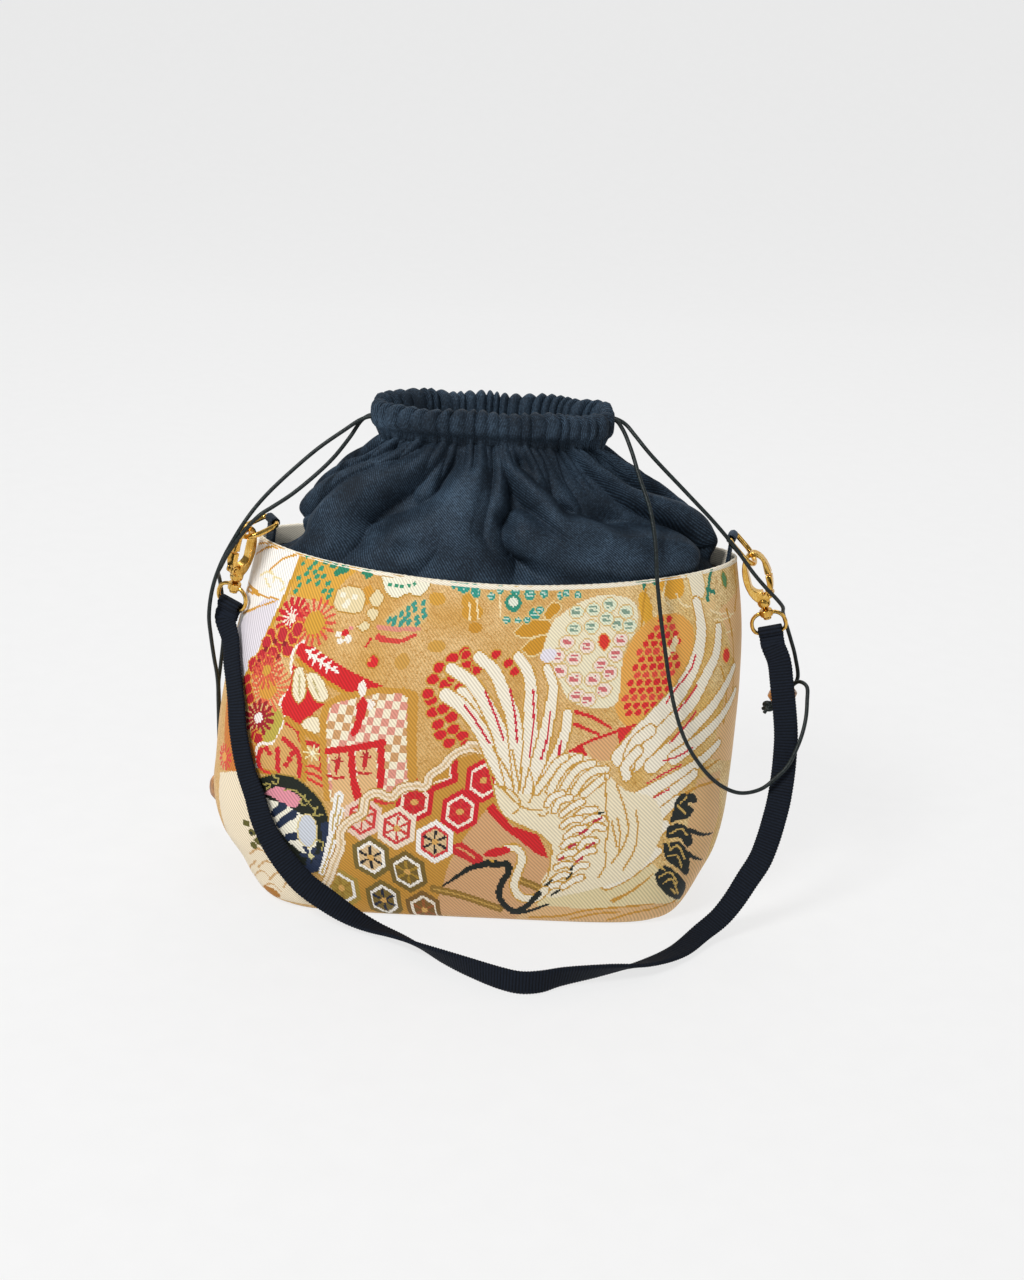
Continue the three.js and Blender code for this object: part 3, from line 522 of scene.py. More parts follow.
# %% Tools that draw on the cloth
class Cloth:
    """The colours of a panel of cloth, one for each square of its grid."""

    def __init__(self, shares, rows):
        heights = body_heights(rows)
        middles = (shares[1:] + shares[:-1]) / 2
        self.s, self.t = np.meshgrid(middles * CLOTH_HALF, (heights[1:] + heights[:-1]) / 2)
        self.colour = np.zeros(self.s.shape + (3,))
        self.ground = np.ones(self.s.shape)
        self.raised = np.zeros(self.s.shape)

    def polygon(self, points):
        inside = np.zeros(self.s.shape, dtype=bool)
        points = list(points)
        for (x0, y0), (x1, y1) in zip(points, points[1:] + points[:1]):
            if y0 == y1:
                continue
            crosses = (y0 > self.t) != (y1 > self.t)
            inside ^= crosses & (self.s < (x1 - x0) * (self.t - y0) / (y1 - y0) + x0)
        return inside

    def blob(self, points):
        """The inside of a smooth closed curve through the points."""
        return self.polygon(through(list(points) + list(points[:1]), steps=6)[:-1])

    def oval(self, centre, across, along, turn=0):
        c, s = math.cos(math.radians(turn)), math.sin(math.radians(turn))
        x, y = self.s - centre[0], self.t - centre[1]
        return ((x * c + y * s) / across) ** 2 + ((y * c - x * s) / along) ** 2 <= 1

    def stroke(self, points, width, end_width=None, smooth=True):
        """A line of thread along a curve, from one width to another."""
        line = through(points, steps=6) if smooth and len(points) > 2 else np.asarray(points, dtype=float)
        end_width = width if end_width is None else end_width
        found = np.zeros(self.s.shape, dtype=bool)
        reach = max(width, end_width)
        lengths = np.r_[0, np.cumsum(np.linalg.norm(np.diff(line, axis=0), axis=1))]
        for k, (a, b) in enumerate(zip(line[:-1], line[1:])):
            low, high = np.minimum(a, b) - reach, np.maximum(a, b) + reach
            rows = np.flatnonzero((self.t[:, 0] >= low[1]) & (self.t[:, 0] <= high[1]))
            columns = np.flatnonzero((self.s[0] >= low[0]) & (self.s[0] <= high[0]))
            if not len(rows) or not len(columns):
                continue
            part = (slice(rows[0], rows[-1] + 1), slice(columns[0], columns[-1] + 1))
            x, y = self.s[part], self.t[part]
            d = b - a
            share = np.clip(((x - a[0]) * d[0] + (y - a[1]) * d[1]) / max(d @ d, 1e-9), 0, 1)
            along = (lengths[k] + share * (lengths[k + 1] - lengths[k])) / lengths[-1]
            half = (width + (end_width - width) * along) / 2
            found[part] |= np.hypot(x - a[0] - share * d[0], y - a[1] - share * d[1]) <= half
        return found

    def fill(self, mask, colour, raised=1.0, ground=0.0):
        self.colour[mask] = linear(colour)[:3]
        self.ground[mask] = ground
        self.raised[mask] = raised

    def grown(self, mask, steps=1):
        for _ in range(steps):
            wider = mask.copy()
            wider[1:] |= mask[:-1]
            wider[:-1] |= mask[1:]
            wider[:, 1:] |= mask[:, :-1]
            wider[:, :-1] |= mask[:, 1:]
            mask = wider
        return mask

    def line(self, points, colour, width, end_width=None, raised=1.0, smooth=True):
        """A stroke in one colour of thread."""
        self.fill(self.stroke(points, width, end_width, smooth), colour, raised)

    def patch(self, points, colour, raised=1.0):
        """A polygon in one colour of thread."""
        self.fill(self.polygon(points), colour, raised)

    def edge(self, mask, colour, steps=1, raised=1.2):
        """An outline of gilt thread just outside the mask."""
        self.fill(self.grown(mask, steps) & ~mask, colour, raised)

    def shape(self, mask, colour, outline=None, steps=1):
        self.fill(mask, colour)
        if outline:
            self.edge(mask, outline, steps)


# Threads that come back in several motifs
RED, SCARLET, CRIMSON, ROSE = "#cf1f24", "#cf2128", "#cc1f28", "#d2383a"
GOLD, OCHRE, STRAW = "#c8973f", "#d3953a", "#eadfc0"
IVORY, SHELL, BLUSH = "#f6f0e6", "#f5ece0", "#f3dfc8"
GREEN, SEA_GREEN = "#2f8f6a", "#2f9484"
INK, DARK_LEAF = "#1d1d22", "#161c17"


def soft_noise(cloth, size, seed):
    """Smooth patches from 0 to 1, about size millimetres across, the same on each run."""
    random = np.random.default_rng(seed)
    columns, rows = int(2 * CLOTH_HALF * 2 / size) + 6, int(RIM_HEIGHT / size) + 6
    table = random.random((rows, columns))
    x = (cloth.s + 2 * CLOTH_HALF) / size
    y = cloth.t / size + 1
    i, j = x.astype(int) % (columns - 1), y.astype(int) % (rows - 1)
    u, v = x - np.floor(x), y - np.floor(y)
    u, v = u * u * (3 - 2 * u), v * v * (3 - 2 * v)
    low = table[j, i] * (1 - u) + table[j, i + 1] * u
    high = table[j + 1, i] * (1 - u) + table[j + 1, i + 1] * u
    return low * (1 - v) + high * v


def mix(one, other, share):
    share = np.asarray(share)[..., None]
    return np.array(linear(one)[:3]) * (1 - share) + np.array(linear(other)[:3]) * share


# %% [markdown]
# Below its picture the brocade has a plain ground: tan gold, yellower towards the right, and painted
# lighter there as painted light. Each square mixes two near shades by a soft noise, because one flat colour
# would look printed.

# %% The ground of the cloth
def weave_ground(cloth):
    """Tan gold, warmer and yellower towards the right, and painted lighter there as painted light, with
    soft patches.
    """
    patches = soft_noise(cloth, 16, 3)
    # Towards the right the ground is yellower and also lighter. The lighter part is painted light, for the
    # light falling more brightly there.
    painted_light_to_right = smoothstep(30, 120, cloth.s)
    tan = mix("#d2a35a", "#e4c088", patches)
    yellow_with_painted_light = mix("#dcb055", "#efd8a4", patches)
    cloth.colour[:] = tan * (1 - painted_light_to_right[..., None]) + yellow_with_painted_light * painted_light_to_right[..., None]


front_shares = np.linspace(-1, 1, FRONT_COLUMNS)
front_cloth = Cloth(front_shares, BODY_ROWS)
weave_ground(front_cloth)

# %% [markdown]
# The design is a classic formal one: a crane in flight over chrysanthemums, a court carriage, tortoise
# shell hexagons, pine and waves. Large plain areas come first and fine threads last, in the order a
# draughtsman would ink them. All the points are (s, t) in millimetres on the cloth.

# %% Large areas
def large_areas(c):
    c.patch([(135, 159), (165, 166), (159, 130), (152, 76), (123, 86), (135, 119), (143, 129)],
        "#e4b983", 0.3)
    c.patch([(115, 77), (132, 78), (134, 53), (129, 35), (128, 15), (121, 6), (108, 2), (24, 0),
        (23, 12), (71, 14), (108, 14), (110, 47)], "#dcb27e", 0.25)
    c.patch([(-4, 45), (7, 63), (22, 55), (41, 37), (38, 21), (24, 0), (-23, 2), (-21, 14), (-14, 23),
        (-7, 37)], "#d3a374", 0.3)
    c.patch([(36, 21), (51, 25), (93, 35), (114, 15), (119, 9), (99, 12), (63, 10), (36, 11)],
        "#e2d0a2", 0.6)
    c.patch([(-167, 177), (-122, 178), (-124, 162), (-125, 153), (-126, 137), (-132, 115), (-143, 106),
        (-166, 157)], "#f1ede6")
    c.patch([(-127, 155), (-136, 154), (-153, 138), (-163, 125), (-146, 107), (-132, 117), (-126, 143)],
        "#ddd6dc")
    c.patch([(-134, 113), (-145, 105), (-132, 65), (-114, 71), (-111, 81), (-112, 84), (-124, 86)],
        "#c9772f")
    c.patch([(-137, 62), (-121, 69), (-108, 51), (-99, 34), (-86, 16), (-82, 3), (-114, 3), (-123, 8),
        (-131, 28)], "#ecdcbf")
    for centre, across, along, colour in (
        ((106.5, 174.5), 8, 7, "#e0a232"), ((87, 165.5), 4, 8, "#dfa637"),
        ((-75, 166), 3.5, 5, "#cf9433"),
        ((-34.5, 169), 5, 3.5, "#cf9a3c"), ((-15.5, 170), 5, 5, "#cd9636"),
        ((-30.5, 144), 5, 3, "#cc9a45"),
        ((-47, 135.5), 4, 4, "#c99848"), ((-13.5, 163.5), 6, 5, "#cc9433"), ((-11, 155), 4, 3, "#c58c2e"),
        ((129, 162.5), 4, 4, "#e6c48a"), ((-99, 147), 6.5, 6, "#cf9a33"), ((-108, 96), 7, 9, "#b9a545"),
    ):
        c.fill(c.oval(centre, across, along), colour, 0.8)
    for leaf in (
        [(10, 153), (17, 159), (30, 160), (31, 155), (22, 152), (17, 151)],
        [(27, 164), (33, 170), (37, 168), (34, 164), (29, 161)],
        [(15, 145), (21, 150), (29, 152), (28, 146), (21, 142)],
    ):
        c.shape(c.blob(leaf), "#c98f2a", "#e6cf9a")


# %% [markdown]
# Small motifs come back everywhere, so each kind is one helper: a flower is narrow petals round a core,
# and a dab is a short oval. The upper left of the panel is full of them.

# %% Flowers, leaves and fans
def flower(c, centre, radius, petals, colour, core, inner=0.25, width=1.5, start=0):
    """Narrow petals round a small core."""
    for k in range(petals):
        angle = math.radians(start) + 2 * math.pi * k / petals
        way = np.array((math.cos(angle), math.sin(angle)))
        a, b = np.array(centre) + way * radius * inner, np.array(centre) + way * radius
        c.line([a, b], colour, width * 0.7, width)
    c.fill(c.oval(centre, radius * inner, radius * inner), core)


def dabs(c, points, across, along, colour, turn=0, outline=None):
    for point in points:
        c.shape(c.oval(point, across, along, turn), colour, outline)


def upper_left(c):
    c.patch([(-124, 178), (-98, 178), (-83, 178), (-89, 173), (-94, 165), (-93, 158), (-121, 159),
        (-123, 168)], "#d6a03a", 0.8)
    dabs(c, [(-118, 178), (-120, 174), (-110, 172), (-115, 170), (-119, 167), (-117, 164), (-118, 161),
        (-112, 167), (-108, 170), (-104, 171), (-100, 168), (-106, 167), (-97, 165), (-101, 164),
        (-97, 162), (-112, 176), (-107, 174), (-114, 173)], 1.7, 1.2, GREEN, 35)
    dabs(c, [(-100, 177), (-95, 176), (-92, 176), (-96, 174), (-80, 177), (-77, 176), (-105, 178)],
        2.4, 1.7, "#22805f", 30)
    for line in ([(-136, 178), (-147, 176), (-159, 169)], [(-124, 178), (-134, 173), (-141, 166)],
            [(-143, 178), (-151, 177), (-160, 174)], [(-165, 151), (-140, 154), (-127, 155)],
            [(-165, 148), (-156, 154), (-136, 154)], [(-154, 141), (-141, 148), (-129, 154)],
            [(-166, 155), (-166, 155), (-154, 155)]):
        c.line(line, "#d39a38", 1.5, 0.8)
    for line in ([(-147, 162), (-142, 165), (-137, 165), (-135, 162)],
            [(-136, 164), (-131, 164), (-126, 161), (-128, 159)],
            [(-142, 162), (-139, 160), (-136, 159)]):
        c.line(line, "#ead9a8", 1.0)
    c.line([(-121, 178), (-123, 164), (-124, 154), (-126, 142), (-128, 126), (-132, 114)], "#c8952f", 2.6)
    c.shape(c.blob([(-69, 176), (-64, 169), (-58, 167), (-52, 170), (-44, 170), (-40, 175), (-40, 178)]),
        "#ece6cf", "#b98f3c")
    dabs(c, [(-63, 173), (-59, 173), (-56, 173), (-52, 174), (-49, 175)], 1.3, 0.9, GREEN)
    for blob in ([(-93, 166), (-86, 169), (-77, 167), (-76, 158), (-84, 156), (-92, 158)],
            [(-73, 157), (-70, 160), (-66, 158), (-68, 154)],
            [(-76, 150), (-72, 153), (-69, 151), (-72, 148)],
            [(-70, 170), (-65, 166), (-68, 161), (-73, 164)]):
        c.shape(c.blob(blob), "#e2cfa2", "#bb8a36")
    dabs(c, [(-89, 164), (-85, 161), (-82, 164), (-86, 159)], 1.8, 1.5, "#efe6d0")
    dabs(c, [(-83, 142), (-79, 144), (-85, 145), (-79, 143)], 1.8, 1.4, "#f2e8da")
    dabs(c, [(-81.5, 146)], 1.9, 1.7, RED)
    dabs(c, [(-79, 148.5)], 1.4, 0.9, "#e08a86")
    c.patch([(-62, 155), (-54, 163), (-47, 168), (-38, 168), (-38, 157), (-43, 153), (-55, 153)],
        "#d8b374", 0.6)
    dabs(c, [(-59, 155), (-56, 156), (-56, 154), (-53, 159), (-51, 156), (-50, 162), (-49, 159),
        (-48, 155), (-47, 165), (-46, 162), (-44, 158), (-43, 155), (-42, 166), (-41, 162), (-40, 159),
        (-52, 154)], 1.3, 1.9, "#3a9382", -20)
    c.line([(-64, 151), (-54, 151), (-42, 152)], "#d98a76", 2.6, 2.2)
    c.line([(-63, 146), (-57, 145), (-51, 145), (-43, 149)], "#d2433a", 3.2, 1.6)
    c.line([(-66.5, 145), (-68.5, 140.5)], RED, 1.4, 0.9)
    c.shape(c.oval((-62.5, 134), 2.9, 2.9), "#d8262b", "#b9872f")
    dabs(c, [(-64.5, 135)], 0.9, 0.8, "#f09a5a")
    flower(c, (-114, 148.5), 9.5, 15, "#c8202a", "#f0dcc8", 0.22, 2.4)
    flower(c, (-115.5, 148.5), 4.6, 10, "#f3e3d2", "#e8c9b8", 0.2, 0.9)
    flower(c, (-100.5, 148.5), 11.5, 17, "#d7503c", "#cf9a33", 0.5, 1.7, 8)
    dabs(c, [(-124, 138), (-125, 134), (-117, 134), (-125, 127), (-119, 130), (-129, 122), (-119, 125),
        (-117, 140), (-111, 134), (-110, 140), (-109, 144), (-125, 121)],
        3.0, 3.6, "#bd2730", 25, "#d99a3a")
    dabs(c, [(-120, 136), (-124, 131), (-126, 124), (-115, 129), (-114, 136)], 1.3, 1.6, "#8c1722", 20)
    flower(c, (-115, 113), 12.5, 22, "#dd6a45", OCHRE, 0.42, 1.5)
    flower(c, (-119, 121.5), 9, 16, "#d2553d", "#cf9a3c", 0.3, 1.4, 6)
    flower(c, (-115.5, 98), 8.5, 14, "#9c1a26", "#f2e4dc", 0.3, 2.0)
    dabs(c, [(-124, 106), (-130, 114), (-115, 89), (-113, 88), (-127, 110)],
        2.4, 2.8, "#b5202a", 0, "#d09234")
    c.line([(-103, 139), (-107, 134), (-106, 127), (-103, 121), (-103, 114), (-106, 108), (-101, 104),
        (-101, 97), (-104, 88), (-112, 85), (-111, 74)], "#f4e9dc", 1.5)


# %% [markdown]
# The carriage of the old court is mostly straight edges, so it is made of polygons and strokes round a
# checked blind. Patches of colour come first and the red poles last, which is how they cover each other.

# %% The court carriage
def carriage(c):
    c.patch([(-105, 138), (-96, 137), (-80, 131), (-68, 127), (-54, 123), (-57, 122), (-71, 117),
        (-87, 122), (-106, 133)], RED)
    c.patch([(-105, 128), (-94, 120), (-83, 111), (-73, 116), (-82, 111), (-92, 99), (-103, 103),
        (-105, 108), (-103, 117)], RED)
    c.line([(-104, 130), (-92, 125), (-82, 121), (-71, 117)], "#c8922f", 2.2)
    for leaf in ([(-103, 125), (-100, 127), (-96, 122), (-94, 116), (-95, 110), (-99, 112), (-102, 120)],
            [(-96, 124), (-91, 125), (-85, 121), (-81, 114), (-85, 112), (-91, 116)],
            [(-89, 103), (-84, 104), (-81, 97), (-88, 97), (-91, 99)]):
        c.shape(c.blob(leaf), "#eee0c0", "#b98a3a")
    for line in ([(-99.5, 123), (-96, 112.5)], [(-92, 122.5), (-85.5, 114)]):
        c.line(line, "#bfae7a", 0.9)
    c.line([(-100, 135), (-93, 132), (-85, 129), (-79, 127)], SHELL, 1.2)
    for a, b in zip([(-99, 134.5), (-95, 132.5), (-91.5, 131), (-87.5, 129.5), (-83, 128.5)],
            [(-95.5, 136.5), (-92, 135), (-88, 133.5), (-84.5, 131.5), (-80.5, 129.5)]):
        c.line([a, b], SHELL, 1.5, 1.0)
    for a, b in zip([(-97, 133.5), (-93.5, 132), (-89.5, 130.5), (-86, 129)],
            [(-97, 131), (-94, 129), (-89.5, 127.5), (-85.5, 126.5)]):
        c.line([a, b], SHELL, 1.5, 1.0)
    c.patch([(-101, 101), (-91, 98), (-78, 93), (-72, 66), (-87, 72), (-107, 74), (-112, 83), (-104, 87),
        (-101, 96)], "#d2a25f", 0.7)
    for line in ([(-101, 85), (-100, 80), (-99, 74)], [(-99, 91), (-90, 85), (-87, 73)],
            [(-86, 91), (-79, 89), (-76, 77)], [(-110, 83), (-111, 78), (-109, 73)],
            [(-99, 99), (-92, 96), (-90, 92)]):
        c.line(line, "#c9262a", 2.6)
    for line in ([(-100, 101), (-91, 97), (-78, 92)], [(-90, 95), (-86, 84), (-85, 72)],
            [(-110, 72), (-98, 72), (-86, 71)]):
        c.line(line, "#c48e33", 3.0)
    for line in ([(-84, 79), (-80, 79), (-76, 77)], [(-84, 76), (-79, 75), (-75, 73)],
            [(-83, 73), (-78, 71), (-75, 70)], [(-108, 73), (-103, 72), (-98, 72)]):
        c.line(line, "#d8392f", 1.5)
    dabs(c, [(-107, 84), (-105, 82), (-94, 81), (-95, 78), (-93, 84)], 1.6, 1.4, "#c9262a")
    flower(c, (-82.5, 86), 4.2, 8, "#eadba8", "#f3e9cc", 0.3, 1.0)
    c.patch([(-73, 62), (-83, 106), (-82, 112), (-75, 117), (-58, 122), (-43, 123), (-35, 121),
        (-28, 76), (-33, 66)], "#c8923a")
    inside = c.polygon([(-70, 62), (-79, 105), (-78, 111), (-72, 114), (-56, 119), (-44, 120),
        (-40, 118), (-33, 77), (-36, 66)])
    across, upwards = np.floor(c.s / 3.9), np.floor(c.t / 4.3)
    square = (across + upwards) % 2 == 0
    pinker = (across * 7 + upwards * 3) % 5 < 3
    c.fill(inside & square, "#f1e4c8")
    c.fill(inside & ~square & pinker, "#dc9482")
    c.fill(inside & ~square & ~pinker, "#cc9a68")
    for panel_points in ([(-74, 87), (-64, 89), (-59, 71), (-56, 63), (-68, 62)],
            [(-61, 89), (-51, 93), (-47, 67), (-55, 64)],
            [(-73, 89), (-64, 90), (-57, 70), (-55, 61), (-62, 54), (-68, 60)]):
        c.patch(panel_points, "#dfb47e", 0.5)
    c.line([(-75, 88), (-62, 91), (-48, 95)], RED, 3.4, 3.8, smooth=False)
    c.line([(-49, 95), (-47, 83), (-46, 70)], RED, 3.6)
    c.line([(-63, 90), (-61, 80), (-59, 71), (-56, 63)], RED, 3.2)
    c.line([(-63, 90), (-61, 78), (-57, 69), (-55, 62)], RED, 3.0)
    for x0 in [(-69, 83), (-55.5, 86.5)]:
        x0 = np.array(x0)
        for dx, dy in ((-2.6, 0.6), (2.4, 0.8), (-1.2, 2.4), (1.2, 2.4), (0, 4.0)):
            c.line([x0 + (dx, dy), x0 + (dx * 0.3, dy * 0.3)], "#b3262a", 0.9)
        c.line([x0 + (0, 0), x0 + (0.2, -6)], "#c4262a", 2.4, 1.4)
        c.line([x0 + (-4, -7.2), x0 + (0, -8.2), x0 + (4, -7.4)], "#c4262a", 1.3)
    c.shape(c.blob([(-65, 125), (-62, 121), (-63, 117), (-65, 118), (-67, 122)]), "#f3e7da")
    c.shape(c.blob([(-63, 117), (-60, 114), (-60, 107), (-61, 100), (-63, 97), (-65, 98), (-64, 105),
        (-65, 113)]), RED)
    c.shape(c.blob([(-59, 116), (-56, 114), (-58, 110), (-60, 113)]), "#f3e7da")


# %% [markdown]
# Hexagons like the plates of a tortoise's shell are an old sign of long life. They all have one shape,
# so one helper draws it, and only its size and its colours change.

# %% Tortoise shell hexagons
def hexagon(c, centre, size, outer, line, inner, line_at=0.66):
    """A hexagon standing on its point: a border, a fine line and a small flower."""
    def ring(scale):
        return c.polygon([(centre[0] + size * 0.92 * scale * math.sin(a),
            centre[1] + size * 1.06 * scale * math.cos(a))
                          for a in (k * math.pi / 3 for k in range(6))])
    c.fill(ring(1), outer)
    c.fill(ring(line_at + 0.09), line)
    c.fill(ring(line_at - 0.06), outer if inner != INK else "#d9b98a")
    flower(c, centre, size * 0.5, 6, inner, "#d8a65a", 0.3, 1.6, 30)


def hexagons(c):
    band = [(-77, 15), (-69, 27), (-63, 39), (-63, 47), (-59, 53), (-53, 58), (-53, 65), (-48, 69),
        (-40, 67), (-36, 72), (-29, 74), (-24, 74), (-22, 80), (-16, 85), (-13, 90), (-7, 94),
        (1, 96)] + [(-4.5, 96.5), (2, 93.5)]
    c.patch([(-61, 46), (-61, 52), (-52, 58), (-51, 65), (-37, 67), (-25, 72), (-21, 79), (-11, 89),
        (1, 93)] + [(-1, 92), (5, 88), (10, 73), (13, 67), (7, 63), (-3, 46), (-9, 34), (-13, 23),
        (-22, 0)] + [(-22, 0), (-64, 2), (-79, 13), (-64, 30)], "#c58f38")
    for centre, outer, line, inner in (
        ((-28.5, 65.5), CRIMSON, BLUSH, "#c33a30"), ((-5.5, 61.5), "#d01f2c", "#f5e6d2", "#d03a34"),
        ((4.5, 78.5), "#d01f2a", "#f5e6d2", "#cf3030"), ((-53, 55), "#e8c9b4", ROSE, "#cf4436"),
        ((-35.5, 51), "#efdcc4", "#cf3a3a", "#cf3a34"), ((-16.5, 44.5), "#f6efe6", ROSE, INK),
        ((-48.5, 34), "#77642e", IVORY, INK), ((-31, 27), "#77602a", "#f6efe2", "#a8842f"),
        ((-67.5, 15.5), "#a98c3c", IVORY, "#9a7a30"), ((-46, 10), "#7c662e", IVORY, "#22283a"),
        ((-25, 5), "#7e5c28", "#f3e6d2", "#9a5a2a"),
    ):
        hexagon(c, centre, 11.4, outer, line, inner)
    c.line([(-11, 87), (-10, 78), (-20, 73)], CRIMSON, 3.4, smooth=False)
    c.line([(-13, 86), (-12, 79), (-20, 76)], BLUSH, 0.9, smooth=False)
    c.line([(-48, 65), (-43, 64), (-39, 65)], "#d0362f", 1.8)
    c.line(band, "#b98a3c", 5.4)
    c.line(band, "#efdcc0", 4.0)
    c.line(band, "#d8b98c", 1.0)


# %% [markdown]
# A round motif fills the lower left. It is one smooth dark shape, with bands, a flower and thin scrolls
# drawn over it.

# %% The scroll roundel and the lower left
def roundel(c):
    c.shape(c.blob([(-114, 65), (-100, 72), (-90, 72), (-78, 65), (-71, 56), (-69, 42), (-73, 29),
        (-80, 23), (-86, 27), (-99, 45), (-108, 53)]), "#171d12", "#a9863a")
    c.fill(c.blob([(-105, 61), (-98, 66), (-85, 62), (-87, 57), (-92, 57), (-99, 60)]), "#de8f9c")
    c.fill(c.blob([(-103, 59), (-96, 58), (-88, 56), (-84, 54), (-76, 48), (-75, 40), (-81, 33),
        (-87, 36), (-95, 44), (-101, 52)]), "#f2ecd8")
    for line in ([(-97.5, 52), (-93.5, 56.5)], [(-94.5, 46.5), (-87.5, 53.5)],
            [(-90, 40.5), (-83.5, 42.5)]):
        c.line(line, "#1d2c46", 3.6, 4.4)
    c.shape(c.oval((-80, 45.5), 4.6, 8.4), "#ccd0d8", "#d9c58a")
    c.line([(-71, 49), (-70, 40), (-75, 29), (-83, 24)], "#1f2d48", 4.4)
    flower(c, (-79, 32), 4.6, 6, "#26324c", "#d9cf9a", 0.35, 2.4)
    for line in ([(-101, 71), (-98, 70), (-99, 67), (-101, 68)],
            [(-94, 65), (-90, 66), (-84, 63), (-77, 57)], [(-83, 64), (-85, 60), (-82, 59), (-80, 62)],
            [(-76, 59), (-77, 54), (-73, 55)], [(-75, 41), (-72, 40), (-73, 36)],
            [(-106, 66), (-102, 66), (-104, 63)]):
        c.line(line, "#a99a55", 0.9)
    for line, w in (([(-66, 66), (-67, 53), (-68, 42), (-73, 27)], 4.6),
            ([(-60, 50), (-64, 39), (-68, 29)], 4.0), ([(-66, 45), (-70, 33), (-76, 23)], 4.4),
            ([(-62, 34), (-68, 28), (-73, 23)], 3.6), ([(-64, 58.5), (-65.5, 49.5)], 3.4)):
        c.line(line, "#f1ede6", w, w * 0.7)
        c.line(line, "#c4a45e", 0.9)
    for line in ([(-115, 26), (-107, 31), (-103, 29)], [(-114, 19), (-105, 25), (-101, 23), (-101, 19)],
            [(-108, 14), (-100, 20), (-96, 17)], [(-124, 9), (-111, 18), (-107, 15)],
            [(-100, 12), (-95, 17), (-90, 14)], [(-113, 23), (-126, 12), (-123, 8)],
            [(-118, 6), (-107, 12), (-103, 9)]):
        c.line(line, "#c99f6a", 0.9)
    dabs(c, [(-113, 43), (-110, 39), (-107, 35), (-110, 32), (-105, 36)], 2.2, 1.8, "#5f5a22")
    dabs(c, [(-110.5, 38.5), (-105.5, 35)], 1.0, 0.8, "#141b14")
    c.fill(c.oval((-110.5, 6.5), 5.5, 3), "#b07426")
    c.fill(c.oval((-122.5, 8), 2.6, 4.5), "#f6f1ea")
    flower(c, (-134.5, 71.5), 6, 12, "#d8433a", "#e0a050", 0.4, 1.6)


# %% [markdown]
# The largest flowers are too wide for the flower helper. Two of them are smooth shapes, filled with
# short ovals that lie side by side as floats of silk do.

# %% Chrysanthemums
def chrysanthemums(c):
    left = [(-21, 139), (-15, 142), (-9, 138), (-27, 134), (-29, 128), (-22, 126), (-19, 130),
        (-14, 125), (-28, 118), (-26, 112), (-21, 114), (-16, 110), (-22, 106), (-14, 104), (-9, 101),
        (-15, 97), (-6, 97), (-30, 121), (-13, 136), (-9, 134), (-20, 101), (-13, 117)]
    dabs(c, left, 3.1, 2.5, SCARLET, 20, GOLD)
    dabs(c, [(2, 142), (9, 138), (13, 134), (-14, 141), (-13, 136), (-7, 134)],
        2.6, 2.0, SCARLET, 30, GOLD)
    c.fill(c.blob([(79, 153), (90, 160), (105, 161), (114, 154), (111, 141), (105, 132), (96, 120),
        (85, 110), (74, 108), (68, 116), (67, 126), (69, 137), (74, 146)]), "#e2a44e")
    middle, half_width, half_height, lean = np.array((88.5, 135)), 13.5, 24.5, 0.34
    for row, y in enumerate(np.arange(-half_height, half_height, 3.7)):
        for x in np.arange(-half_width, half_width + 2, 4.9) + (row % 2) * 2.4:
            if (x / half_width) ** 2 + (y / half_height) ** 2 < 1:
                c.fill(c.oval(middle + (x + lean * y, y), 2.1, 1.5, 30),
                    "#d8262b" if row % 3 else "#e04a3c")
    dabs(c, [(100, 145), (102, 148), (97, 143)], 1.8, 2.2, "#f0dcb0")
    c.fill(c.blob([(33, 161), (46, 169), (65, 173), (81, 168), (80, 156), (73, 147), (70, 135),
        (68, 119), (56, 117), (43, 121), (36, 132), (27, 142), (29, 153)]), STRAW)
    for point, colour, dash in (
        [(p, "#dfe3c8", "#7f9a86") for p in [(46, 165), (56, 166), (66, 168), (75, 164), (44, 156),
        (54, 157), (69, 158), (76, 157), (63, 161)]]
        + [(p, "#efdccc", "#cf6a6c") for p in [(40, 149), (51, 147), (44, 141), (59, 138), (45, 131),
        (55, 131), (61, 126), (47, 123), (67, 143), (70, 150), (53, 121), (64, 134), (35, 142),
        (37, 135)]]
    ):
        c.shape(c.oval(point, 4.0, 3.2, 10), colour, "#d6b678")
        p = np.array(point)
        for k in (-1.1, 0, 1.1):
            c.line([p + (-2.4, k), p + (1.6, k + 0.3)], dash, 0.75)
    c.fill(c.oval((30, 142.5), 4.5, 3.2, 20), "#e4dde6")
    c.shape(c.oval((60.5, 149.5), 2.8, 3.8), "#d8352a", "#e0a050")
    for line in ([(47, 115), (57, 112), (66, 107)], [(47, 109), (52, 107), (60, 104)]):
        c.line(line, "#d0262a", 2.0, 1.4)
    c.patch([(54, 99), (69, 105), (71, 90), (58, 91)], "#d9a774", 0.2)
    c.line([(46, 95), (57, 101), (82, 109)], RED, 1.5)
    c.patch([(70, 107), (77, 108), (77, 98), (72, 91), (71, 91)], "#d62c2c")
    c.patch([(45, 93), (52, 98), (56, 92), (49, 91)], "#d02228")


# %% [markdown]
# The small leaves below the rim are ovals with two short pale veins each. The right end stays nearly
# plain, with a few long thin curves, so that the eye goes to the crane.

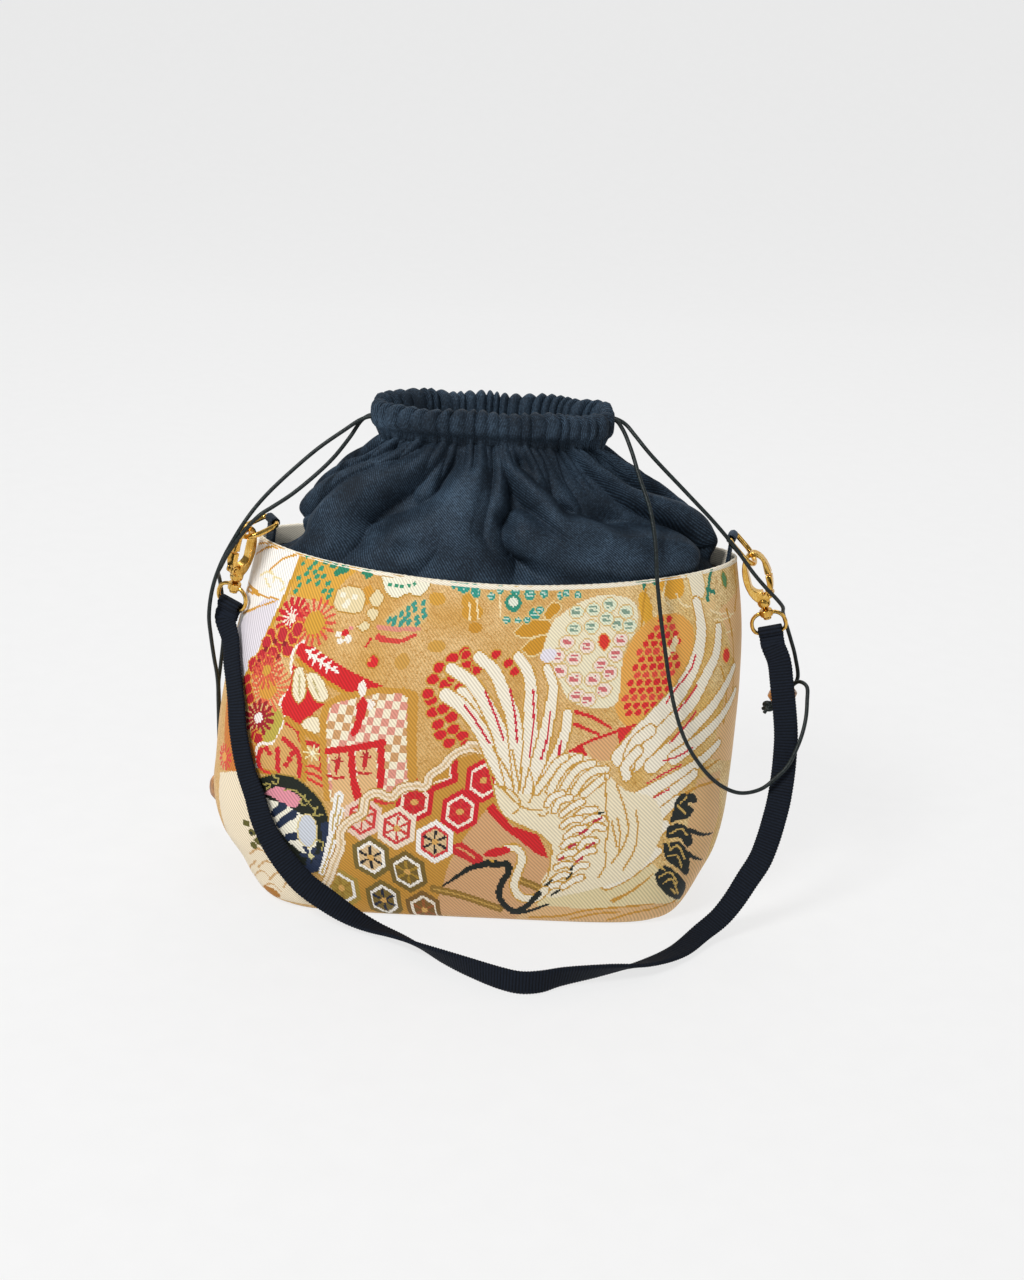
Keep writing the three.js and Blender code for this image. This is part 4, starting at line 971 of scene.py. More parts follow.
# %% Leaves along the rim, and the right end
def rim_leaves(c):
    for point, size in zip([(-19.5, 175.5), (-12.5, 174), (-3.5, 172.5), (1.5, 176), (10.5, 175),
            (19, 174), (6, 160), (12.5, 160), (22, 164), (27.5, 174.5), (37, 173.5), (40.5, 174.5),
            (47.5, 173.5), (17.5, 160.5), (25, 166)],
            (2.6, 3.0, 2.2, 2.2, 2.6, 3.2, 2.2, 1.9, 3.4, 2.4, 2.2, 2.2, 2.0, 2.0, 2.2)):
        c.shape(c.oval(point, size, size * 0.9), SEA_GREEN, "#d8b572")
        p = np.array(point)
        for k in (-0.9, 0.5):
            c.line([p + (-size * 0.6, k), p + (size * 0.5, k + 0.5)], "#bcd3c4", 0.7)
    ring = c.oval((9.5, 169.5), 4.8, 4.8) & ~c.oval((9.5, 170), 2.6, 2.6)
    c.fill(ring, "#2c8a72")
    c.fill(c.oval((9.5, 170), 2.6, 2.6), "#dfe3d0")
    dabs(c, [(-26, 177), (-22, 176), (-18, 176), (-13, 175), (-14, 177)], 1.8, 2.2, SEA_GREEN)
    for line in ([(84.5, 178), (93, 178)], [(89, 178), (88, 175)], [(94.5, 178), (95, 176.5)],
            [(136, 178), (133, 174), (129, 167)], [(128, 169.5), (134, 167.5)]):
        c.line(line, "#2f7f66", 2.0)
    c.shape(c.oval((144.5, 171.5), 1.9, 3.6), "#5a8a5a", "#b08a34")
    dabs(c, [(128, 165)], 1.4, 1.4, "#2f7f66")
    c.shape(c.blob([(117, 178), (128, 178), (126, 167), (119, 167), (118, 176)]), "#eee2c6", "#d8ae5c")
    for line in ([(103, 177), (99, 169), (102, 165)], [(108, 170), (110, 165), (115, 163)],
            [(128, 160), (135, 157), (143, 156)], [(130, 155), (138, 154), (147, 155)],
            [(137.5, 147.5), (144.5, 147.5)], [(-15.5, 168), (-14.5, 159)], [(-11.5, 170), (-10, 160)],
            [(1.5, 173.5), (2.5, 161.5)]):
        c.line(line, "#efd9aa", 1.1)
    for line in ([(89, 174), (85, 164), (82, 153)], [(158, 178), (155, 164), (149, 156)],
            [(141, 158), (143, 143), (142, 117)], [(131, 132), (135, 119), (133, 102)]):
        c.line(line, "#c8902c", 1.2)
    c.shape(c.oval((136, 136.5), 2.6, 3.6), "#dd3a2c", "#e3ae58")


# %% [markdown]
# The crane is the main motif. A feather is a stroke whose width changes from its tip to its root. It is
# laid once in gilt and once more in cream, a little narrower, so the gilt stays as an outline.

# %% The crane
def feather(c, points, wide, narrow, colour="#f1e7d2"):
    """One feather: a cream blade with an outline of gilt thread."""
    c.line(points, GOLD, wide + 1.7, narrow + 1.7)
    c.line(points, colour, wide, narrow)


def crane(c):
    right_wing = (
        ([(120, 164), (120, 155), (117, 144), (111, 133), (103, 123), (92, 113), (82, 103), (73, 92)],
        3.0, 9),
        ([(132, 151), (128, 139), (120, 129), (111, 118), (100, 109), (89, 99), (79, 89)], 2.4, 8),
        ([(143, 129), (134, 121), (124, 113), (112, 105), (100, 96), (89, 87)], 2.0, 7),
        ([(145, 116), (135, 109), (125, 103), (112, 96), (101, 90)], 1.8, 6),
        ([(129, 93), (118, 87), (105, 81), (92, 75), (81, 69)], 2.0, 7),
        ([(113, 80), (103, 74), (93, 68), (84, 62), (76, 55)], 2.4, 7),
        ([(104, 68), (96, 62), (87, 54), (79, 46), (73, 41)], 2.4, 7),
        ([(98, 55), (91, 48), (84, 41), (75, 34), (69, 30)], 2.6, 7),
        ([(95, 41), (87, 35), (79, 29), (71, 25)], 2.6, 6),
        ([(87, 105), (80, 100), (77, 93), (76, 84)], 3.0, 5), ([(81, 95), (75, 87), (76, 82)], 2.5, 4),
    )
    for points, tip, root in right_wing:
        feather(c, points, tip * 1.9, root * 1.15)
    for line in ([(114, 140), (110, 133), (100, 124)], [(114, 125), (108, 119), (101, 113)],
            [(113, 112), (106, 105), (98, 98)], [(105, 86), (97, 83), (87, 78)],
            [(99, 74), (92, 71), (85, 66)], [(111, 94), (104, 91), (95, 89)],
            [(101.5, 125.5), (95.5, 118.5)], [(109.5, 108.5), (98.5, 98.5)]):
        c.line(line, "#cf2c3a", 1.0)
    left_wing = (
        ([(-12, 121), (-3, 111), (6, 97), (15, 83), (22, 66)], 4.0, 6.0),
        ([(-21, 121), (-12, 116), (-1, 105), (9, 89), (18, 74), (23, 64)], 3.0, 5.5),
        ([(-21, 134), (-9, 128), (0, 118), (9, 104), (17, 85), (24, 66)], 2.6, 6.5),
        ([(-7, 140), (2, 134), (9, 123), (15, 112), (19, 98), (23, 81), (26, 66)], 2.6, 6.5),
        ([(14, 141), (20, 134), (23, 124), (24, 112), (26, 98), (27, 82), (27, 66)], 2.4, 6.5),
        ([(30, 136), (34, 128), (34, 117), (33, 106), (31, 91), (29, 75), (28, 64)], 2.0, 6.0),
        ([(43, 114), (43, 107), (41, 97), (37, 85), (32, 70), (29, 62)], 2.0, 5.5),
    )
    for points, tip, root in left_wing:
        feather(c, points, tip * 2.1, root * 1.35)
    for line in ([(-10, 116), (-2, 107), (5, 98)], [(-1, 124), (6, 112), (12, 100)],
            [(12, 125), (16, 113), (19, 99)], [(24, 125), (26, 109), (26, 92)],
            [(34, 115), (34, 103), (32, 91)], [(41, 100), (40, 90), (37, 85)]):
        c.line(line, "#cb2038", 1.1)
    body = [(9, 76), (13, 65), (19, 59), (29, 54), (36, 51), (41, 45), (41, 34), (36, 21), (41, 16),
        (52, 18), (69, 23), (85, 30), (93, 41), (97, 54), (91, 70), (76, 75), (68, 82), (60, 90),
        (51, 94), (44, 94), (39, 84), (31, 73), (20, 73)]
    c.fill(c.blob(body), "#eddfc0")
    coverts = (
        [(38, 74), (41, 82), (46, 89), (51, 92)], [(44, 74), (47, 81), (52, 87), (58, 89)],
        [(50, 74), (54, 81), (59, 85), (65, 86)],
        [(55, 73), (59, 77), (65, 82)], [(31, 74), (36, 82), (40, 89), (44, 92)],
    )
    for points in coverts:
        feather(c, points, 3.4, 3.4, "#f0e6cf")
    rows = (
        [(37, 67), (39, 71), (44, 73)], [(41, 64), (43, 69), (48, 71)], [(45, 62), (49, 66), (54, 69)],
        [(51, 60), (55, 64), (61, 65)],
        [(56, 58), (61, 61), (65, 60)], [(46, 56), (49, 59), (54, 60)], [(48, 50), (52, 54), (57, 55)],
        [(58, 52), (62, 56), (66, 55)],
        [(47, 45), (50, 48), (54, 49)], [(55, 44), (58, 48), (63, 48)], [(46, 39), (49, 41), (53, 42)],
        [(54, 39), (58, 42), (62, 43)],
        [(44, 33), (48, 35), (51, 35)], [(51, 30), (55, 34), (59, 35)], [(43, 26), (47, 29), (50, 29)],
        [(40, 21), (43, 23), (48, 23)],
        [(48, 22), (53, 26), (57, 28)],
    )
    for points in rows:
        feather(c, points, 2.4, 3.0, "#f3ead6")
    lines = (
        [(65, 83), (66, 73), (67, 63), (69, 56), (68, 45), (69, 36), (66, 28)],
        [(71, 78), (74, 71), (77, 63)], [(70, 59), (72, 52), (74, 45)],
        [(73, 60), (75, 52), (75, 43)], [(77, 63), (79, 54), (77, 45), (72, 36)],
        [(82, 64), (84, 54), (83, 43), (78, 32)],
        [(10, 77), (20, 73), (24, 66), (21, 62)], [(13, 76), (19, 70), (26, 65), (35, 64)],
        [(28, 68), (30, 74), (27, 85)], [(20, 76), (15, 85), (7, 96)],
        [(23, 74), (20, 85), (17, 95)], [(33, 62), (36, 61), (38, 63)], [(76, 14), (86, 21), (94, 29)],
        [(-2, 95), (5, 88), (9, 77), (13, 65), (18, 59), (29, 54), (35, 51), (41, 45), (41, 36),
        (40, 28), (36, 22)],
    )
    for line in lines:
        c.line(line, GOLD, 0.95)
    for a, b in zip([(61, 58.5), (54.5, 52), (50, 44.5), (59, 44.5), (45.5, 37.5), (54, 36.5)],
            [(64.5, 60.5), (58, 54), (53, 46.5), (62, 47), (47.5, 39), (57, 39)]):
        c.line([a, b], "#b8283a", 1.4)
    for a, b in zip([(39, 22.5), (43, 17.5), (50, 27), (51.5, 32), (63.5, 63)],
            [(42.5, 26), (46.5, 20.5), (52, 30), (52.5, 34), (65.5, 63.5)]):
        c.line([a, b], "#1d241c", 1.2)


def crane_head(c):
    c.patch([(7, 64), (10, 67), (21, 55), (34, 51), (38, 44), (40, 38), (33, 41), (26, 47), (16, 54),
        (9, 61)], RED)
    c.patch([(-7, 44), (-3, 45), (7, 38), (8, 35), (3, 33), (-8, 39)], "#cb2a2c")
    c.line([(-5, 42), (-1, 40), (3, 37)], "#dba069", 1.2)
    for line in ([(-19, 18), (-5, 15), (16, 8)], [(24, 26), (29, 24), (36, 21)]):
        c.line(line, "#94702c", 4.4)
        c.line(line, "#c49a4a", 1.0)
    feather(c, [(19, 43), (24, 43), (27, 38), (25, 30), (23, 22), (26, 16), (34, 15), (39, 20)],
        3.2, 4.2, "#f0e4ca")
    c.line([(10, 34), (1, 31), (-14, 20)], DARK_LEAF, 3.8, 0.9, smooth=False)
    c.fill(c.oval((12.5, 34), 3.9, 2.2, -5), DARK_LEAF)
    c.line([(13, 33), (20, 34), (20, 29), (17, 24), (15, 17), (18, 11), (24, 7), (30, 10), (36, 18)],
        DARK_LEAF, 3.4, 3.2)
    c.line([(23, 6), (31, 7), (42, 12)], DARK_LEAF, 3.0, 1.0)
    dabs(c, [(12, 35.5)], 1.1, 0.8, "#c89a3f")
    c.shape(c.oval((14.5, 40.5), 7.0, 2.4, 16), "#cf2026")


# %% [markdown]
# Pine is drawn as dark shapes with thin gilt veins. The waves below the crane are thin curves only.

# %% Pine and waves
def pine_and_waves(c):
    for blob in (
        [(103, 68), (107, 71), (114, 69), (116, 65), (110, 65), (114, 61), (111, 57), (105, 57),
        (101, 56), (102, 62)],
        [(99, 54), (105, 55), (111, 52), (115, 43), (112, 41), (107, 47), (100, 48)],
        [(98, 45), (107, 45), (114, 35), (115, 25), (107, 31), (100, 37)],
        [(95, 29), (100, 33), (110, 26), (118, 17), (117, 11), (104, 17), (98, 23)],
    ):
        c.shape(c.blob(blob), "#1b221f")
    for line in ([(104.5, 64.5), (109, 60)], [(109, 68.5), (106, 66)], [(101, 50), (107, 52), (111, 48)],
            [(102, 41), (106, 43), (111, 35)], [(101, 38), (106, 38), (110, 31)],
            [(98, 27), (103, 29), (110, 22)], [(101, 23), (105, 25), (113, 15)],
            [(106.5, 19.5), (110.5, 16)], [(100, 47), (102, 42)], [(97, 33.5), (100.5, 30.5)]):
        c.line(line, "#c9a75c", 1.0)
    for line in ([(113, 50), (121, 46), (130, 44)], [(112, 38), (118, 34), (124, 31)]):
        c.line(line, "#1b221f", 2.6, 0.9)
    for line in ([(33, 3), (50, 5), (63, 9), (80, 11), (99, 12)], [(56, 3), (68, 7), (81, 8)],
            [(77, 3), (87, 7), (100, 9), (114, 11)], [(108, 2), (118, 3), (120, 9)],
            [(75, 15), (84, 20), (90, 25)], [(109, 71), (117, 73), (132, 73)],
            [(119, 81), (126, 83), (131, 84)]):
        c.line(line, "#c9923a", 1.7, 1.0)


def draw_design(c):
    large_areas(c)
    rim_leaves(c)
    upper_left(c)
    carriage(c)
    roundel(c)
    chrysanthemums(c)
    hexagons(c)
    crane(c)
    crane_head(c)
    pine_and_waves(c)


def draw_back(c):
    """The back isn't in the photograph: large chrysanthemums and hexagons over gilt waves."""
    for s, t, size, colour in ((-92, 118, 19, SCARLET), (-30, 62, 22, STRAW), (48, 122, 21, SCARLET),
                               (104, 58, 20, "#d7503c"), (-120, 40, 15, STRAW), (6, 152, 13, "#dd6a45")):
        flower(c, (s, t), size, 26, colour, OCHRE, 0.5, 2.6)
        flower(c, (s, t), size * 0.6, 18, "#f0dcc8" if colour != STRAW else SCARLET, OCHRE, 0.3, 1.6)
    for k in range(9):
        centre = (-62 + 14.6 * (k % 3) + 7.3 * (k // 3 % 2), 100 - 12.6 * (k // 3))
        hexagon(c, centre, 7.9, (CRIMSON, "#f6efe6", "#77642e")[k % 3], (BLUSH, ROSE, IVORY)[k % 3], INK)
    for k in range(7):
        wave = [(s, 22 + 5 * k + 5 * math.sin(s / 13 + k)) for s in range(20, 160, 10)]
        c.line(wave, GOLD, 1.4)
    for s, t in ((-142, 140), (-60, 150), (78, 90), (140, 118), (12, 30), (-84, 74)):
        dabs(c, [(s, t), (s + 5, t + 4), (s - 5, t + 3), (s + 1, t - 6)],
            3.2, 2.2, SEA_GREEN, 25, "#d8b572")


draw_design(front_cloth)
print("colours on the front", len(np.unique(front_cloth.colour.reshape(-1, 3), axis=0)))


# %% [markdown]
# The finish of the cloth is silk and gilt twill. Every square's colour is stored at its own corners, so
# no colour runs into the next. Slanting ribs shade it, and fine gilt lines show on the open ground.

# %% The front and back panels
# The places of a mix node's colour sockets, which share their names with its number sockets
MIX_A, MIX_B, MIX_RESULT = 6, 7, 2


def brocade():
    material, shader = new_material("silk and gilt brocade", Roughness=0.55, Specular_IOR_Level=0.3)
    woven = add_node(material, "ShaderNodeAttribute", attribute_name="woven")
    cloth_map = add_node(material, "ShaderNodeUVMap", uv_map="cloth")
    place = add_node(material, "ShaderNodeTexCoord")
    threads = add_node(
        material, "ShaderNodeTexWave", {"Scale": 31.0, "Distortion": 0.6, "Detail": 1.0,
        "Detail Scale": 40.0},
        {"Vector": cloth_map.outputs["UV"]}, wave_type="BANDS", bands_direction="DIAGONAL",
    )
    squiggle = add_node(
        material, "ShaderNodeTexNoise", {"Scale": 560.0, "Detail": 1.5, "Distortion": 1.6},
        {"Vector": place.outputs["Object"]},
    )
    lines = add_node(material, "ShaderNodeMath", {1: 0.5}, {0: squiggle.outputs["Fac"]},
        operation="SUBTRACT")
    lines = add_node(material, "ShaderNodeMath", joins={0: lines.outputs[0]}, operation="ABSOLUTE")
    lines = add_node(
        material, "ShaderNodeMapRange", {"From Min": 0.0, "From Max": 0.06, "To Min": 1.0,
        "To Max": 0.0}, {"Value": lines.outputs[0]},
    )
    lines = add_node(
        material, "ShaderNodeMath", joins={0: lines.outputs["Result"], 1: woven.outputs["Alpha"]},
        operation="MULTIPLY",
    )
    shade = add_node(
        material, "ShaderNodeMapRange", {"To Min": 0.76, "To Max": 1.14},
        {"Value": threads.outputs["Fac"]},
    )
    lit = add_node(material, "ShaderNodeMix", {"Factor": 1.0}, data_type="RGBA", blend_type="MULTIPLY")
    join(material, woven.outputs["Color"], lit, MIX_A)
    grey = add_node(material, "ShaderNodeCombineColor",
        joins={"Red": shade.outputs[0], "Green": shade.outputs[0], "Blue": shade.outputs[0]})
    join(material, grey.outputs[0], lit, MIX_B)
    gilt = add_node(material, "ShaderNodeMix", data_type="RGBA")
    gilt.inputs[MIX_B].default_value = linear("#b07c30")
    join(material, lines.outputs[0], gilt, 0)
    join(material, lit.outputs[MIX_RESULT], gilt, MIX_A)
    join(material, gilt.outputs[MIX_RESULT], shader, "Base Color")
    fibres = add_node(material, "ShaderNodeTexNoise", {"Scale": 1400.0, "Detail": 2.0},
        {"Vector": place.outputs["Object"]})
    height = add_node(material, "ShaderNodeMath",
        joins={0: threads.outputs["Fac"], 1: fibres.outputs["Fac"]}, operation="ADD")
    bump = add_node(material, "ShaderNodeBump", {"Strength": 0.35, "Distance": 0.0002},
        {"Height": height.outputs[0]})
    join(material, bump.outputs["Normal"], shader, "Normal")
    return material


brocade_finish = brocade()


def panel(name, shares, cloth, rows):
    """A panel of brocade with its woven colours and its raised threads."""
    grid = body_points(shares, rows)
    normals = grid_normals(grid)
    padded = np.pad(cloth.raised, 1, mode="edge")
    lift = (padded[1:, 1:] + padded[:-1, 1:] + padded[1:, :-1] + padded[:-1, :-1]) / 4
    grid = grid + normals * (0.12 * lift - 0.05)[..., None]
    faces = grid_faces(rows, len(shares))
    piece = link_mesh(name, grid.reshape(-1, 3) * MM, faces, brocade_finish)
    colours = np.concatenate([cloth.colour, cloth.ground[..., None]], -1).reshape(-1, 4)
    woven = piece.data.color_attributes.new("woven", "FLOAT_COLOR", "CORNER")
    woven.data.foreach_set("color", np.repeat(colours, 4, axis=0).astype(np.float32).ravel())
    cloth_map = piece.data.uv_layers.new(name="cloth")
    heights = body_heights(rows)
    s, t = np.meshgrid(shares * CLOTH_HALF, heights)
    corners = np.stack([s.ravel(), t.ravel()], -1)[faces.ravel()] / UV_UNIT
    cloth_map.data.foreach_set("uv", corners.astype(np.float32).ravel())
    return piece


# %% [markdown]
# The body is sewn from a front, a back, a flat base and a strip folded over the rim. Each is a grid of
# its own, because the front's picture needs the smallest squares and the rest doesn't.

# %% The pieces of the body
def wrapped(shares):
    """Shares that run past the middle of the back, brought into -2 to 2."""
    return np.where(shares > 2, shares - 4, shares)


back_shares = np.linspace(1, 3, BACK_COLUMNS)
back_cloth = Cloth(back_shares, BODY_ROWS // 2)
back_cloth.s = back_cloth.s - 2 * CLOTH_HALF
weave_ground(back_cloth)
draw_back(back_cloth)
front_panel = panel("front_brocade", front_shares, front_cloth, BODY_ROWS)
back_panel = panel("back_brocade", wrapped(back_shares), back_cloth, BODY_ROWS // 2)


def plain_cloth(name, grid, colour, ground, closed=True):
    """A small piece of the same brocade in one colour, on a grid of points in millimetres."""
    rows, columns = grid.shape[:2]
    faces = grid_faces(rows, columns, closed)
    piece = link_mesh(name, grid.reshape(-1, 3) * MM, faces, brocade_finish)
    woven = piece.data.color_attributes.new("woven", "FLOAT_COLOR", "CORNER")
    value = np.array(linear(colour)[:3] + [ground], dtype=np.float32)
    woven.data.foreach_set("color", np.tile(value, len(faces) * 4))
    cloth_map = piece.data.uv_layers.new(name="cloth")
    points = grid.reshape(-1, 3)[faces.ravel()]
    cloth_map.data.foreach_set("uv",
        (points[:, :2] / UV_UNIT + points[:, 2:] / UV_UNIT).astype(np.float32).ravel())
    return piece


around = np.linspace(-2, 2, 300, endpoint=False)
base_grid = []
for share in (1, 0.995, 0.98, 0.9, 0.75, 0.5, 0.25, 0.02):
    x, y, _ = oval_ring(section_at(BODY_SECTIONS, 0.4), around)
    sink = 0.4 if share == 1 else 0.05
    base_grid.append(np.stack([-3.5 + (x + 3.5) * share, y * share, np.full_like(x, sink)], -1))
base = plain_cloth("base_brocade", np.array(base_grid)[::-1], "#c79c60", 0.3)

rim_grid = []
for inset, drop in ((-0.25, -2.6), (-0.45, -1.6), (-0.4, -0.7), (0.1, 0.05), (0.75, 0.35), (1.4, 0.05),
        (1.9, -0.8), (2.0, -9)):
    x, y, _ = oval_ring(section_at(BODY_SECTIONS, RIM_HEIGHT), around, inset)
    rim_grid.append(np.stack([x, y, RIM_HEIGHT + rim_lift(x) + drop + 0.12 * np.sin(around * 260)], -1))
# The rim fold is a near-white cream. It is partly the cloth's own cream and partly a painted highlight,
# where the folded edge catches the light.
rim = plain_cloth("rim_fold_with_painted_highlight", np.array(rim_grid), "#efe6d2", 0.0)
pieces_of_shell = [front_panel, back_panel, base, rim]
for piece in pieces_of_shell:
    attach(piece, "bag")
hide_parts("outer_shell")
print("body", sum(len(p.data.polygons) for p in pieces_of_shell), "quads")

# %% [markdown]
# The lining is a plain thin bag of navy cotton, sewn in at the rim. Little of it shows, so it keeps the
# quiet shape of the body, a few millimetres smaller.

# %% Lining
def cotton_twill(name, dark, middle, light, roughness=0.72):
    """Fine cotton twill: slanting ribs about 0.5 mm apart, slightly worn at random."""
    material, shader = new_material(name, Roughness=roughness, Specular_IOR_Level=0.2)
    place = add_node(material, "ShaderNodeTexCoord")
    cloth_map = add_node(material, "ShaderNodeUVMap", uv_map="cloth")
    ribs = add_node(
        material, "ShaderNodeTexWave", {"Scale": 38.0, "Distortion": 0.8, "Detail": 2.0,
        "Detail Scale": 30.0},
        {"Vector": cloth_map.outputs["UV"]}, wave_type="BANDS", bands_direction="DIAGONAL",
    )
    fibres = add_node(material, "ShaderNodeTexNoise", {"Scale": 1100.0, "Detail": 3.0},
        {"Vector": place.outputs["Object"]})
    patches = add_node(material, "ShaderNodeTexNoise", {"Scale": 45.0, "Detail": 3.0},
        {"Vector": place.outputs["Object"]})
    blend = add_node(
        material, "ShaderNodeMix", {"Factor": 0.3},
        {"A": fibres.outputs["Fac"], "B": ribs.outputs["Fac"]}, data_type="FLOAT",
    )
    whole = add_node(
        material, "ShaderNodeMix", {"Factor": 0.45},
        {"A": blend.outputs[0], "B": patches.outputs["Fac"]}, data_type="FLOAT",
    )
    colour = ramp(material, whole.outputs[0], [(0.3, dark), (0.5, middle), (0.72, light)])
    bump = add_node(material, "ShaderNodeBump", {"Strength": 0.45, "Distance": 0.00025},
        {"Height": blend.outputs[0]})
    join(material, colour, shader, "Base Color")
    join(material, bump.outputs["Normal"], shader, "Normal")
    return material


twill = cotton_twill("navy cotton twill", "#0b1219", "#1a2632", "#44586b")
lining_finish = cotton_twill("lining cotton", "#171f2a", "#1f2936", "#2a3646", 0.85)


def map_cloth(piece, grid, faces, coordinates):
    """A UV map in tenths of a metre, so that a pattern's scale can be worked out from millimetres."""
    cloth_map = piece.data.uv_layers.new(name="cloth")
    cloth_map.data.foreach_set("uv",
        (coordinates.reshape(-1, 2)[faces.ravel()] / UV_UNIT).astype(np.float32).ravel())


lining_heights = [2.6, 3.2, 5, 8, 14, 20, 32, 48, 66, 90, 118, 148, 168]
lining_grid = []
for share in (0.03, 0.4, 0.8, 0.97):
    x, y, _ = oval_ring(section_at(BODY_SECTIONS, 2.6), around, 3.6)
    lining_grid.append(np.stack([-4 + (x + 4) * share, y * share, np.full_like(x, 2.4)], -1))
for z in lining_heights:
    x, y, _ = oval_ring(section_at(BODY_SECTIONS, z), around, 2.4)
    lining_grid.append(np.stack([x, y, np.full_like(x, z)], -1))
lining_grid = np.array(lining_grid)
lining_faces = grid_faces(len(lining_grid), len(around), closed=True)
lining = link_mesh("lining_cotton", lining_grid.reshape(-1, 3) * MM, lining_faces, lining_finish)
lining_map = np.stack(np.broadcast_arrays(around * CLOTH_HALF, lining_grid[:, :, 2]), -1)
map_cloth(lining, lining_grid, lining_faces, lining_map)
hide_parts("lining")
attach(lining, "bag")
print("lining", len(lining_faces), "quads")

# %% [markdown]
# The collar is one sheet of navy cotton. It is sewn flat inside the rim, and at the mouth it is pulled
# together on the two drawcords, so the same length of cloth has half of the room. It can't shrink,
# so it folds: tight ruffles at the casing, which run together in twos and threes into broad soft folds.
# Each broad fold is drawn as a crest line with a width and a height at each end.

# %% The shape of the collar
COLLAR_SECTIONS = [
    (168.7, 114.0, 0.8, 46.5, 1.88), (174.5, 111.5, 1, 45.1, 1.8), (181, 109.4, 3.2, 43.6, 1.82),
    (187, 107.6, 4.6, 42.6, 1.8), (194, 104.4, 3.2, 40.5, 1.85), (202, 99, 1.8, 37, 1.9),
    (210, 92, 0.4, 33, 1.95),
    (218, 84, -1.4, 28.5, 2), (226, 74, -2.8, 23.8, 2.1), (232, 64.5, -4, 19.6, 2.3),
    (236.5, 57.4, -5, 15.6, 2.8),
]
COLLAR_COLUMNS = 840
COLLAR_ROWS = 84
COLLAR_HEM = 168.7
CASING_BOTTOM = 236.5
PLEATS = 48
collar_shares = np.linspace(-2, 2, COLLAR_COLUMNS, endpoint=False)


def pleat_phase():
    """Where each ruffle of the casing lies, a little uneven, as hand gathering is."""
    random = np.random.default_rng(11)
    widths = random.uniform(0.6, 1.45, PLEATS)
    edges = np.r_[0, np.cumsum(widths)] / widths.sum() * 4 - 2
    return np.interp(collar_shares, edges, np.arange(PLEATS + 1)), random.uniform(0.55, 1.25, PLEATS + 1)


pleat_at, pleat_sizes = pleat_phase()
pleat_wave = np.abs(np.sin(np.pi * pleat_at)) ** 0.75
pleat_size = np.interp(pleat_at, np.arange(PLEATS + 1), pleat_sizes)

# %% The folds of the collar
# Each fold: its crest as (share of the half front in hundredths, height in mm) from the casing down,
# then its half width and its height in millimetres, at the casing and at the hem.
FRONT_FOLDS = [
    ([(-37, 236), (-40, 232), (-51, 223), (-62, 215), (-71, 205), (-74, 194), (-76, 178)], (5, 24),
    (5, 12)),
    ([(-30, 236), (-31, 230), (-35, 222), (-38, 215)], (3, 6), (4, 3)),
    ([(-15, 237), (-14, 230), (-17, 220), (-22, 208), (-28, 199), (-36, 190), (-44, 182), (-47, 174)],
    (5, 26), (5, 12)),
    ([(-7, 237), (-8, 229), (-11, 219), (-15, 208), (-19, 198), (-18, 186), (-15, 174)], (5, 26),
    (6, 12)),
    ([(7, 238), (4, 231), (2, 221), (-1, 212), (-5, 202), (-6, 190)], (3, 9), (6, 7)),
    ([(13, 238), (10, 229), (15, 221), (21, 213), (27, 203), (34, 197), (46, 191), (60, 187), (72, 184)],
    (4, 20), (6, 13)),
    ([(23, 238), (27, 232), (25, 226), (22, 220)], (6, 8), (7, 5)),
    ([(42, 238), (38, 231), (35, 223), (35, 214)], (4, 7), (4, 2)),
    ([(61, 238), (65, 233), (67, 226), (71, 217), (80, 212), (92, 206), (101, 196), (106, 186)], (4, 12),
    (5, 9)),
    ([(84, 238), (90, 233), (95, 224), (99, 214), (108, 200)], (4, 10), (4, 7)),
    ([(10, 197), (22, 190), (34, 187), (46, 187), (56, 186)], (14, 20), (11, 11)),
    ([(-56, 236), (-62, 230), (-78, 220), (-90, 209), (-99, 198)], (4, 12), (5, 8)),
    ([(-72, 236), (-84, 227), (-92, 220), (-104, 208)], (4, 9), (4, 7)),
    ([(-93, 189), (-86, 193), (-80, 199)], (5, 8), (6, 6)),
    ([(-98, 236), (-108, 224), (-116, 210), (-122, 196)], (4, 14), (5, 8)),
    ([(108, 238), (114, 226), (120, 210), (126, 194)], (4, 14), (5, 8)),
]
BACK_FOLDS = [
    ([(share, 237), (share + turn, 222), (share + 2 * turn, 204), (share + 2.5 * turn, 180)], (5, 22),
    (5, 10))
    for share, turn in ((128, 2), (146, 3), (163, -2), (180, 3), (196, -3), (-170, 2), (-152, -3),
    (-136, 2), (-120, -3))
]
# Places where the cloth is pushed in between two folds: centre, half width and depth
HOLLOWS = [((2, 204), 7, 5), ((-40, 186), 9, 4), ((52, 205), 13, 5), ((31, 209), 8, 5),
    ((-52, 196), 7, 4)]
VALLEY = -14
BACK_RISE = 3.5
FOLD_SIZE = 1.42
HIGHEST = 1.6


